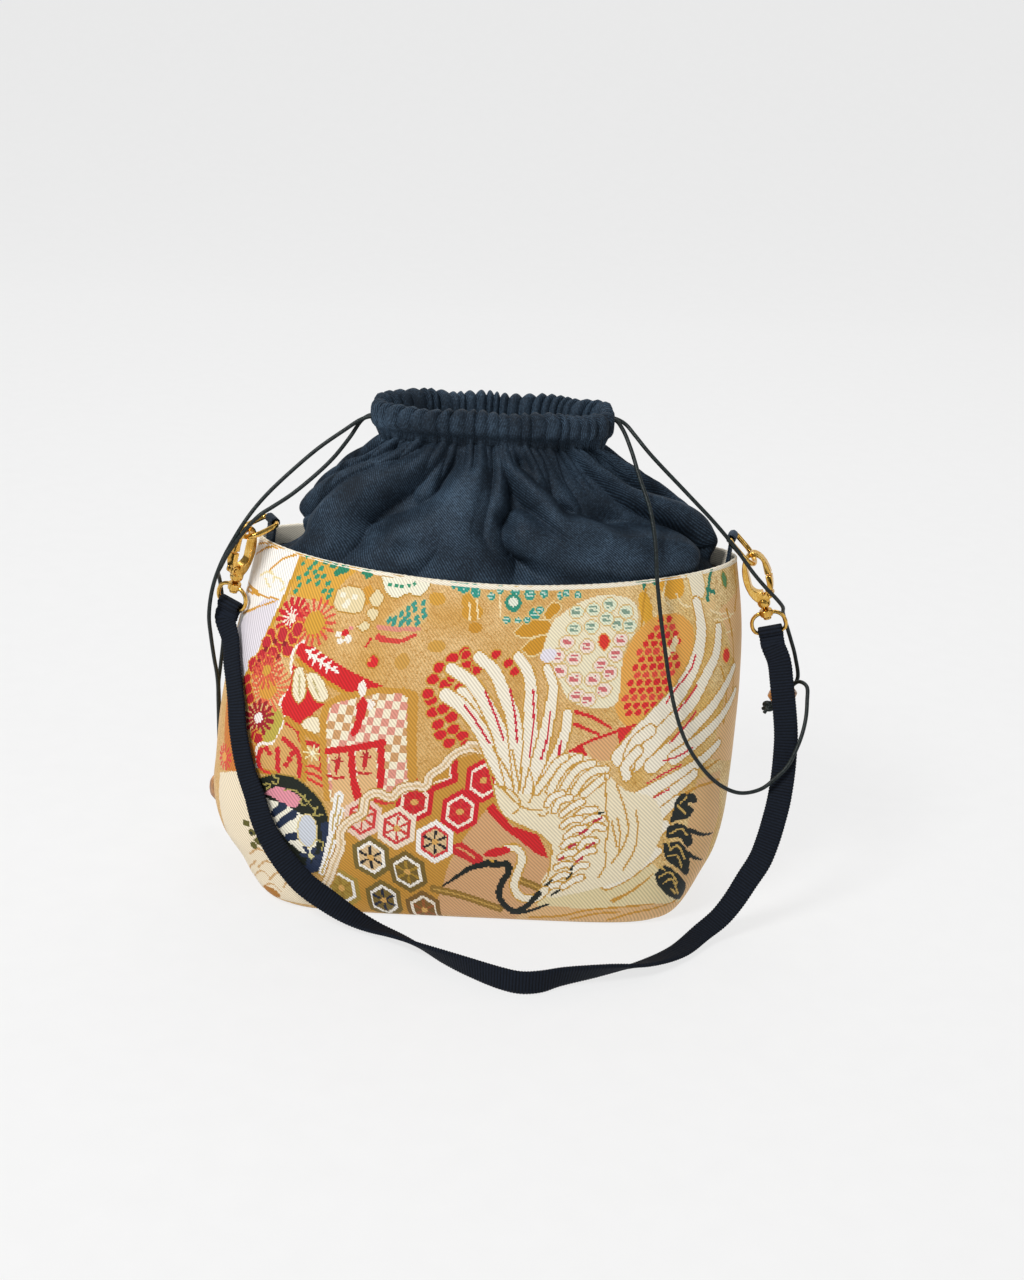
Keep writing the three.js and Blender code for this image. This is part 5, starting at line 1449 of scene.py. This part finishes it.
def fold_heights(shares, heights, halves):
    """How far the cloth stands out from its quiet shape, for a grid of shares and heights."""
    u, z = np.meshgrid(shares * 100, heights)
    half = halves[:, None] / 100
    total = np.zeros_like(u)
    for points, widths, sizes in FRONT_FOLDS + BACK_FOLDS:
        line = through(points, steps=5)
        nearest = np.full(u.shape, 1e9)
        share_along = np.zeros_like(u)
        count = len(line) - 1
        for k in range(count):
            a, b = line[k], line[k + 1]
            offset = (u - a[0] + 200) % 400 - 200
            x, y = offset * half, z - a[1]
            dx, dy = (b[0] - a[0]) * half, b[1] - a[1]
            share = np.clip((x * dx + y * dy) / (dx * dx + dy * dy + 1e-9), 0, 1)
            away = np.hypot(x - share * dx, y - share * dy)
            closer = away < nearest
            nearest[closer] = away[closer]
            share_along[closer] = ((k + share) / count)[closer]
        width = widths[0] + (widths[1] - widths[0]) * share_along ** 1.2
        size = sizes[0] + (sizes[1] - sizes[0]) * np.minimum(share_along * 1.6, 1)
        crest = np.clip(1 - (nearest / width) ** 2, 0, 1) ** 0.85
        total = np.maximum(total, FOLD_SIZE * size * crest) + 0.15 * np.minimum(total, size * crest)
    for centre, width, depth in HOLLOWS:
        away = np.hypot(((u - centre[0] + 200) % 400 - 200) * half, z - centre[1])
        total -= depth * np.cos(np.pi / 2 * np.clip(away / width, 0, 1)) ** 2
    return np.minimum(VALLEY + total, HIGHEST + 0.25 * (VALLEY + total - HIGHEST))


def collar_grid():
    """The cloth from the hem to the casing, over its top and down inside it."""
    heights = CASING_BOTTOM - (CASING_BOTTOM - COLLAR_HEM) * np.linspace(1, 0, COLLAR_ROWS) ** 1.15
    rings, halves = [], []
    for z in heights:
        x, y, half = oval_ring(section_at(COLLAR_SECTIONS, z), collar_shares)
        rings.append(np.stack([x, y, np.full_like(x, z)], -1))
        halves.append(half)
    rings = np.array(rings)
    outwards = unit(np.cross(np.roll(rings, -1, 1) - np.roll(rings, 1, 1), np.gradient(rings, axis=0)))
    deep = fold_heights(collar_shares, heights, np.array(halves))
    t = heights[:, None]
    strength = smoothstep(COLLAR_HEM, 184, t) * (1 - 0.55 * smoothstep(224, CASING_BOTTOM, t))
    tuck = -2.2 * smoothstep(222, CASING_BOTTOM, t)
    small = (pleat_wave - 0.6) * pleat_size * (0.3 + 1.9 * smoothstep(214, 236, t))
    small = small * smoothstep(206, 226, t)
    rings = rings + outwards * (deep * strength + tuck + small)[..., None]
    casing = []
    # Offset from the casing's middle line, height, and how strongly the ruffles show
    walls = [(1.6, 237.0, 1.2), (2.9, 238.2, 1.3), (3.7, 240, 1.35), (3.9, 242, 1.3), (3.9, 244, 1.3),
        (3.8, 246, 1.35),
             (3.4, 247.6, 1.4), (2.4, 249.0, 1.4), (1.0, 249.7, 1.2), (-0.6, 249.5, 1.2),
             (-2.0, 248.4, 1.3),
             (-3.0, 246.6, 1.3), (-3.5, 244.2, 1.2), (-3.6, 241.6, 1.2), (-3.2, 239.2, 1.2),
             (-1.6, 237.2, 1.0)]
    wave = 1.25 * (pleat_wave - 0.55) * pleat_size
    for offset, z, strength in walls:
        size = {"half_width": CASING["half_width"] + offset, "half_depth": CASING["half_depth"] + offset}
        x, y, _ = oval_ring((size["half_width"], CASING["shift"], size["half_depth"],
            CASING["squareness"]), collar_shares)
        ring = np.stack([x, y, np.full_like(x, z)], -1)
        outward = unit(np.cross(np.roll(ring, -1, 0) - np.roll(ring, 1, 0), (0, 0, 1)))
        side = 1 if offset > 0 else -1
        ring = ring + outward * (wave * strength * side * 1.15)[:, None]
        crown = smoothstep(243, 249.5, z)
        back_rise = BACK_RISE * smoothstep(-4, 8, ring[:, 1])
        ring[:, 2] += crown * (wave * 1.8 - 0.9 + back_rise + 0.5 * np.sin(pleat_at * 0.9 + 1.0))
        casing.append(ring)
    return np.concatenate([rings, np.array(casing)])


collar_points = collar_grid()
collar_faces = grid_faces(len(collar_points), COLLAR_COLUMNS, closed=True)
collar = link_mesh("gathered_cotton_collar", collar_points.reshape(-1, 3) * MM, collar_faces, twill)
rows_along = np.linspace(0, 108, len(collar_points))
collar_map = np.stack(np.broadcast_arrays(collar_shares * 140, rows_along[:, None]), -1)
map_cloth(collar, collar_points, collar_faces, collar_map)
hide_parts("gathered_collar")
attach(collar, "bag")
print("collar", len(collar_faces), "quads, lowest", round(collar_points[..., 2].min(), 1))

# %% [markdown]
# The strap is ribbed webbing, 12 mm wide and not quite 2 mm thick. Its cross ribs are thick weft cords,
# 1.5 mm apart, so each edge is a row of small scallops. The ribs are real shape here, because they show
# against the light where the strap turns on its edge.

# %% Strap
STRAP_WIDTH = 12.0
STRAP_THICKNESS = 1.8
RIB_PITCH = 1.5
LOOK_WEIGHT = 20
STRAP_ROUTE = [
    ((-128.8, -19.6, 129.1), (-0.58, -0.81, 0)), ((-127.6, -25.4, 121), (-0.6, -0.8, 0)),
    ((-125.9, -29.9, 113), (-0.62, -0.78, 0)), ((-124.1, -35.1, 103), (-0.62, -0.78, 0)),
    ((-122.8, -39.4, 92.3), (-0.6, -0.8, 0)), ((-120.8, -43.1, 82.8), (-0.55, -0.83, 0)),
    ((-118.8, -45.6, 75.3), (-0.52, -0.85, 0.02)), ((-116.4, -48, 68.3), (-0.48, -0.87, 0.05)),
    ((-113, -51, 60.7), (-0.42, -0.9, 0.1)), ((-108.9, -54.4, 48.8), (-0.36, -0.91, 0.2)),
    ((-103.7, -57.4, 39.1), (-0.32, -0.88, 0.34)), ((-96.4, -60.6, 29.6), (-0.28, -0.82, 0.5)),
    ((-86.8, -63.6, 19.9), (-0.22, -0.72, 0.65)), ((-74.2, -66, 11.6), (-0.12, -0.52, 0.84)),
    ((-62.5, -69.4, 5.8), (-0.02, -0.2, 0.97)), ((-51.5, -74, 3), (0.08, 0.14, 0.98)),
    ((-38, -83.6, 3.8), (0.2, 0.42, 0.88)), ((-18.8, -101, 5.6), (0.3, 0.8, 0.5)),
    ((-3.7, -111.6, 6.1), (0.35, 0.9, 0.22)), ((11, -120, 6.2), (0.32, 0.94, 0.02)),
    ((20.4, -123, 6.2), (0, 1, 0)), ((29.8, -121.4, 6.2), (-0.32, 0.94, 0.02)),
    ((40, -116.2, 6.1), (-0.42, 0.87, 0.25)), ((60.5, -108, 5.5), (-0.34, 0.72, 0.6)),
    ((80.5, -98, 3.8), (-0.2, 0.36, 0.91)), ((98, -83, 2.4), (-0.16, 0.06, 0.98)),
    ((111, -68, 4.6), (-0.34, -0.3, 0.88)), ((120.7, -61, 9.9), (-0.5, -0.5, 0.7)),
    ((127.3, -57.2, 17.7), (-0.56, -0.64, 0.5)), ((133.2, -54.2, 27.7), (-0.52, -0.76, 0.36)),
    ((139.1, -51, 37.6), (-0.44, -0.86, 0.26)), ((142.5, -48, 47.5), (-0.36, -0.9, 0.2)),
    ((144.9, -45, 57.2), (-0.3, -0.92, 0.2)), ((146.8, -42, 66.9), (-0.26, -0.93, 0.22)),
    ((148.3, -37, 78.4), (-0.22, -0.91, 0.34)), ((148.9, -33, 87.6), (-0.2, -0.9, 0.38)),
    ((149, -29, 96.7), (-0.18, -0.9, 0.4)), ((147.8, -24, 108.1), (-0.18, -0.9, 0.4)),
    ((146, -19, 119.5), (-0.18, -0.9, 0.4)), ((144.1, -14, 130.3), (-0.18, -0.88, 0.4)),
]
# Each end: the eye's bar, its direction and the way down
STRAP_ENDS = {
    "left": ((-130.02, -12.58, 145.60), (0.83584, -0.49986, -0.22698), (0.1, -0.3, -0.95)),
    "right": ((139.74, -5.98, 142.80), (0.93022, -0.19685, 0.30975), (0.2, -0.45, -0.87)),
}


def strap_end(side):
    centre, bar, down = [np.array(v, dtype=float) for v in STRAP_ENDS[side]]
    bar = unit(bar)
    down = unit(down - bar * down.dot(bar))
    face = unit(np.cross(down, bar))
    return centre, bar, down, face if face[1] < 0 else -face


def ribbed_webbing():
    material, shader = new_material("ribbed cotton webbing", Roughness=0.8, Specular_IOR_Level=0.15)
    place = add_node(material, "ShaderNodeTexCoord")
    rib = add_node(material, "ShaderNodeAttribute", attribute_name="rib")
    fibres = add_node(material, "ShaderNodeTexNoise", {"Scale": 1300.0, "Detail": 4.0},
        {"Vector": place.outputs["Object"]})
    blend = add_node(
        material, "ShaderNodeMix", {"Factor": 0.5},
        {"A": rib.outputs["Fac"], "B": fibres.outputs["Fac"]}, data_type="FLOAT",
    )
    # The colour is darker in the grooves between the ribs and lighter on their crests. This is painted
    # shade between the ribs, on top of their real shape.
    colour = ramp(material, blend.outputs[0], [(0.15, "#040608"), (0.5, "#0b0f16"), (0.85, "#171f2c")])
    bump = add_node(material, "ShaderNodeBump", {"Strength": 0.4, "Distance": 0.0003},
        {"Height": fibres.outputs["Fac"]})
    join(material, colour, shader, "Base Color")
    join(material, bump.outputs["Normal"], shader, "Normal")
    return material


webbing = ribbed_webbing()


def band(points, faces_up, width, thickness):
    """A ribbed band of webbing along points, with the way its upper face looks. Millimetres."""
    tangents = unit(np.gradient(points, axis=0))
    across = unit(np.cross(faces_up, tangents))
    face = unit(np.cross(tangents, across))
    run = np.r_[0, np.cumsum(np.linalg.norm(np.diff(points, axis=0), axis=1))]
    rib = np.abs(np.sin(np.pi * run / RIB_PITCH)) ** 0.7
    outline = [(-1, -0.25), (-1, 0.25), (-0.93, 0.5), (-0.6, 0.5), (-0.2, 0.5), (0.2, 0.5), (0.6, 0.5),
        (0.93, 0.5),
               (1, 0.25), (1, -0.25), (0.93, -0.5), (0.6, -0.5), (0.2, -0.5), (-0.2, -0.5), (-0.6, -0.5),
               (-0.93, -0.5)]
    rings = []
    for a, b in outline:
        half = width / 2 - 0.35 * (1 - rib) * (abs(a) > 0.9)
        tall = thickness * (0.78 + 0.3 * rib)
        rings.append(points + across * (a * half)[:, None] + face * (b * tall)[:, None])
    grid = np.stack(rings, 1)
    faces = [tuple(f) for f in grid_faces(len(points), len(outline), closed=True)]
    last = len(points) * len(outline)
    faces += [tuple(range(len(outline)))[::-1], tuple(range(last - len(outline), last))]
    return grid, faces, np.repeat(rib[:, None], len(outline), 1)


def strap_line():
    """The middle of the strap and the way it looks, from one eye to the other."""
    stops, looks = [], []
    ends = {side: strap_end(side) for side in STRAP_ENDS}

    def entry(side):
        centre, _, down, face = ends[side]
        start = centre + face * STRAP_THICKNESS / 2
        return [(start + down * d, face) for d in (3, 6.5)]

    for point, look in entry("left") + STRAP_ROUTE + entry("right")[::-1]:
        stops.append(point)
        looks.append(look)
    both = through(np.c_[np.array(stops), np.array(looks) * LOOK_WEIGHT], closeness=0.5)
    both = evenly(both, RIB_PITCH / 5)
    return both[:, :3], unit(both[:, 3:])


strap_points, strap_looks = strap_line()
strap_grid, strap_faces, strap_ribs = band(strap_points, strap_looks, STRAP_WIDTH, STRAP_THICKNESS)
strap = link_mesh("strap_webbing", strap_grid.reshape(-1, 3) * MM, strap_faces, webbing)
numbers(strap, "rib", strap_ribs)
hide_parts("strap")
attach(strap, "bag")
print("strap", round(length_of(strap_points)), "mm,", len(strap_faces), "faces")

# %% [markdown]
# At each end the webbing goes round the eye's bar and is sewn down on itself. The fold is its own piece
# of the same ribbed band, so the strap looks doubled where it is.

# %% Strap ends, folded round the bars
def strap_loop(side):
    """The webbing round the eye's bar, and the doubled stretch that is sewn below it."""
    centre, bar, down, face = strap_end(side)
    middle = 1.1 + 0.4 + STRAP_THICKNESS / 2
    path, looks = [], []
    for d in np.linspace(6.6, 2.2, 6):
        path.append(centre + down * d - face * STRAP_THICKNESS / 2)
        looks.append(-face)
    for angle in np.radians(np.linspace(-60, 240, 22)):
        way = -face * math.cos(angle) - down * math.sin(angle)
        path.append(centre + way * middle)
        looks.append(way)
    for d in np.linspace(2.2, 7.5, 7):
        path.append(centre + down * d + face * STRAP_THICKNESS / 2)
        looks.append(face)
    both = evenly(through(np.c_[np.array(path), np.array(looks) * LOOK_WEIGHT]), RIB_PITCH / 5)
    grid, faces, ribs = band(both[:, :3], unit(both[:, 3:]), STRAP_WIDTH, STRAP_THICKNESS * 0.96)
    piece = link_mesh("strap_loop_" + side, grid.reshape(-1, 3) * MM, faces, webbing)
    numbers(piece, "rib", ribs)
    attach(piece, "bag")
    return piece


print("strap loops", [len(strap_loop(side).data.polygons) for side in STRAP_ENDS], "faces")

# %% [markdown]
# The hardware is cast metal, so no edge on it is sharp. Each casting starts as a copy of its exact solid,
# which is joined up, remeshed finely and smoothed until the edges are as soft as polishing leaves them.
# Gilt metal has faint scratches, and a warmer, duller tone in random patches.

# %% Gilt castings
def gilt_finish():
    material, shader = new_material("polished gilt metal", Metallic=1.0, Roughness=0.2)
    place = add_node(material, "ShaderNodeTexCoord")
    patches = add_node(material, "ShaderNodeTexNoise", {"Scale": 260.0, "Detail": 4.0},
        {"Vector": place.outputs["Object"]})
    scratches = add_node(
        material, "ShaderNodeTexWave", {"Scale": 240.0, "Distortion": 9.0, "Detail": 3.0,
        "Detail Scale": 3.0},
        {"Vector": place.outputs["Object"]},
    )
    wear = add_node(
        material, "ShaderNodeMix", {"Factor": 0.25},
        {"A": patches.outputs["Fac"], "B": scratches.outputs["Fac"]},
        data_type="FLOAT",
    )
    colour = ramp(material, wear.outputs[0], [(0.25, "#c08f3a"), (0.5, "#d9aa52"), (0.75, "#ecc878")])
    rough = add_node(
        material, "ShaderNodeMapRange", {"From Min": 0.3, "From Max": 0.7, "To Min": 0.14,
        "To Max": 0.24},
        {"Value": wear.outputs[0]},
    )
    bump = add_node(material, "ShaderNodeBump", {"Strength": 0.03, "Distance": 0.0001},
        {"Height": wear.outputs[0]})
    join(material, colour, shader, "Base Color")
    join(material, rough.outputs["Result"], shader, "Roughness")
    join(material, bump.outputs["Normal"], shader, "Normal")
    return material


gilt = gilt_finish()


def casting(node, body, finish, voxel, rounds):
    """A piece made from a CAD node: joined up, remeshed with voxels of a size in mm, smoothed."""
    source = bpy.data.objects[node]
    mesh = source.data.copy()
    mesh.transform(source.matrix_world)
    mesh.materials.clear()
    mesh.materials.append(finish)
    piece = bpy.data.objects.new(node + "_cast", mesh)
    bpy.context.scene.collection.objects.link(piece)
    bpy.ops.object.select_all(action="DESELECT")
    piece.select_set(True)
    bpy.context.view_layer.objects.active = piece
    bpy.ops.object.mode_set(mode="EDIT")
    bpy.ops.mesh.select_all(action="SELECT")
    bpy.ops.mesh.remove_doubles(threshold=0.00001)
    bpy.ops.mesh.normals_make_consistent(inside=False)
    bpy.ops.object.mode_set(mode="OBJECT")
    bpy.ops.object.modifier_add(type="REMESH")
    remesh = piece.modifiers[-1]
    remesh.mode = "VOXEL"
    remesh.voxel_size = voxel * MM
    bpy.ops.object.modifier_apply(modifier=remesh.name)
    bpy.ops.object.modifier_add(type="SMOOTH")
    smooth = piece.modifiers[-1]
    smooth.factor = 0.5
    smooth.iterations = rounds
    bpy.ops.object.modifier_apply(modifier=smooth.name)
    bpy.ops.object.shade_smooth()
    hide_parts(node)
    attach(piece, body)
    return piece


castings = []
for side, letter in (("left", "l"), ("right", "r")):
    castings += [
        casting("hook_body_" + side, "hook_" + letter, gilt, 0.3, 5),
        casting("hook_gate_" + side, "gate_" + letter, gilt, 0.22, 4),
        casting("gate_pin_" + side, "hook_" + letter, gilt, 0.13, 2),
        casting("swivel_eye_" + side, "eye_" + letter, gilt, 0.25, 5),
        casting("side_ring_" + side, "ring_" + letter, gilt, 0.28, 6),
    ]
print("castings", [(piece.name, len(piece.data.polygons)) for piece in castings])

# %% [markdown]
# The beads are turned from a tan wood and barely polished: the grain runs along the bore as fine dark
# streaks.

# %% Wooden beads
def bead_finish(side):
    material, shader = new_material("turned wood, " + side + " bead", Roughness=0.42, Coat_Weight=0.15,
        Coat_Roughness=0.3)
    place = add_node(material, "ShaderNodeTexCoord")
    lean = add_node(material, "ShaderNodeMapping", joins={"Vector": place.outputs["Object"]})
    lean.inputs["Scale"].default_value = (1.0, 1.0, 0.12)
    grain = add_node(
        material, "ShaderNodeTexNoise", {"Scale": 900.0, "Detail": 5.0, "Distortion": 0.6},
        {"Vector": lean.outputs["Vector"]},
    )
    colour = ramp(material, grain.outputs["Fac"], [(0.3, "#6e4726"), (0.5, "#a87443"), (0.7, "#c99660")])
    bump = add_node(material, "ShaderNodeBump", {"Strength": 0.25, "Distance": 0.0002},
        {"Height": grain.outputs["Fac"]})
    join(material, colour, shader, "Base Color")
    join(material, bump.outputs["Normal"], shader, "Normal")
    return material


beads = {}
for side, letter in (("left", "l"), ("right", "r")):
    beads[side] = casting("bead_" + side, "bead_" + letter, bead_finish(side), 0.3, 5)
print("beads", [len(bead.data.polygons) for bead in beads.values()])

# %% [markdown]
# Each side ring is held by a short tab of the collar's navy cotton. It is folded round the ring's bar,
# and both its ends go down inside the rim, where they are sewn in.

# %% Cloth tabs
RING_BARS = {
    "left": (np.array((-110.1, -6.1, 188.4)), np.array((0.42305, -0.90611, 0))),
    "right": (np.array((115.9, -2.9, 190.5)), np.array((0.25006, 0.96823, 0))),
}
TAB_WIDTH, TAB_CLOTH, RING_WIRE = 10, 0.75, 1.4


def cloth_tab(side):
    bar, axis = RING_BARS[side]
    node = bpy.data.objects["ring_tab_" + side]
    points = np.array([node.matrix_world @ v.co for v in node.data.vertices]) / MM
    foot = points[points[:, 2] < points[:, 2].min() + 0.5].mean(axis=0)
    down = unit(foot - bar)
    face = unit(np.cross(axis, down))
    middle = RING_WIRE + 0.2 + TAB_CLOTH / 2
    length = np.linalg.norm(foot - bar)
    path, looks = [], []
    for d in np.linspace(length - 0.3, 3.2, 6):
        path.append(bar + down * d - face * TAB_CLOTH * 0.55)
        looks.append(-face)
    for angle in np.radians(np.linspace(-50, 230, 20)):
        way = -face * math.cos(angle) - down * math.sin(angle)
        path.append(bar + way * middle)
        looks.append(way)
    for d in np.linspace(3.2, length - 0.3, 6):
        path.append(bar + down * d + face * TAB_CLOTH * 0.55)
        looks.append(face)
    both = evenly(through(np.c_[np.array(path), np.array(looks) * LOOK_WEIGHT]), 0.4)
    grid, faces, ribs = band(both[:, :3], unit(both[:, 3:]), TAB_WIDTH, TAB_CLOTH)
    piece = link_mesh("cloth_tab_" + side, grid.reshape(-1, 3) * MM, faces, twill)
    cloth_map = piece.data.uv_layers.new(name="cloth")
    corners = np.empty(len(piece.data.loops), dtype=np.int32)
    piece.data.loops.foreach_get("vertex_index", corners)
    flat = grid.reshape(-1, 3)[corners]
    flat = np.stack([flat[:, 0] + flat[:, 1], flat[:, 2]], -1) / UV_UNIT
    cloth_map.data.foreach_set("uv", flat.astype(np.float32).ravel())
    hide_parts("ring_tab_" + side)
    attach(piece, "bag")
    return piece


tabs = {side: cloth_tab(side) for side in RING_BARS}
print("tabs", [len(tab.data.polygons) for tab in tabs.values()])

# %% [markdown]
# The studio is plain: a pale sheet for a floor, a pale world that fills the shadows, one broad soft light
# from the upper left and a weaker one from the right. Gilt metal needs something dark and something
# bright to mirror, so the lights are large and there is a little contrast between them.

# %% Floor, lights and world
def floor_finish():
    material, shader = new_material("matt white paper", Roughness=0.9, Emission_Strength=0.84)
    shader.inputs["Emission Color"].default_value = linear("#f3f3f3")
    place = add_node(material, "ShaderNodeTexCoord")
    grain = add_node(material, "ShaderNodeTexNoise", {"Scale": 60.0, "Detail": 4.0},
        {"Vector": place.outputs["Object"]})
    join(material, ramp(material, grain.outputs["Fac"], [(0.3, "#5c5c5c"), (0.7, "#606060")]),
        shader, "Base Color")
    return material


SWEEP_START, SWEEP_RADIUS, SWEEP_HALF = 1.6, 1.2, 6.0
sweep = [(-SWEEP_HALF, 0), (0, 0)]
sweep += [
    (SWEEP_START + SWEEP_RADIUS * math.sin(a), SWEEP_RADIUS * (1 - math.cos(a)))
    for a in np.radians(np.linspace(0, 90, 19))
]
sweep.append((SWEEP_START + SWEEP_RADIUS, 2 * SWEEP_HALF))
sweep_grid = np.array([[(x, y, z - 0.0002) for x in (-SWEEP_HALF, SWEEP_HALF)] for y, z in sweep])
floor = link_mesh("floor", sweep_grid.reshape(-1, 3), grid_faces(len(sweep), 2), floor_finish())


def area_light(name, place, aim, size, power, colour="#ffffff"):
    data = bpy.data.lights.new(name, "AREA")
    data.energy = power
    data.shape = "DISK"
    data.size = size
    data.color = linear(colour)[:3]
    light = bpy.data.objects.new(name, data)
    light.location = place
    light.rotation_euler = (Vector(aim) - Vector(place)).to_track_quat("-Z", "Y").to_euler()
    bpy.context.scene.collection.objects.link(light)
    return light


area_light("key", (-0.75, -0.8, 1.25), (0, 0, 0.1), 0.45, 20)
area_light("fill", (1.1, -0.9, 0.8), (0, 0, 0.1), 1.0, 3)
area_light("top", (0.1, 0.7, 1.3), (0, 0, 0.1), 0.9, 5)
world = bpy.data.worlds.new("studio")
world.use_nodes = True
world.node_tree.nodes["Background"].inputs["Color"].default_value = linear("#f4f6f8")
world.node_tree.nodes["Background"].inputs["Strength"].default_value = 0.22
bpy.context.scene.world = world
bpy.context.scene.view_settings.view_transform = "Standard"
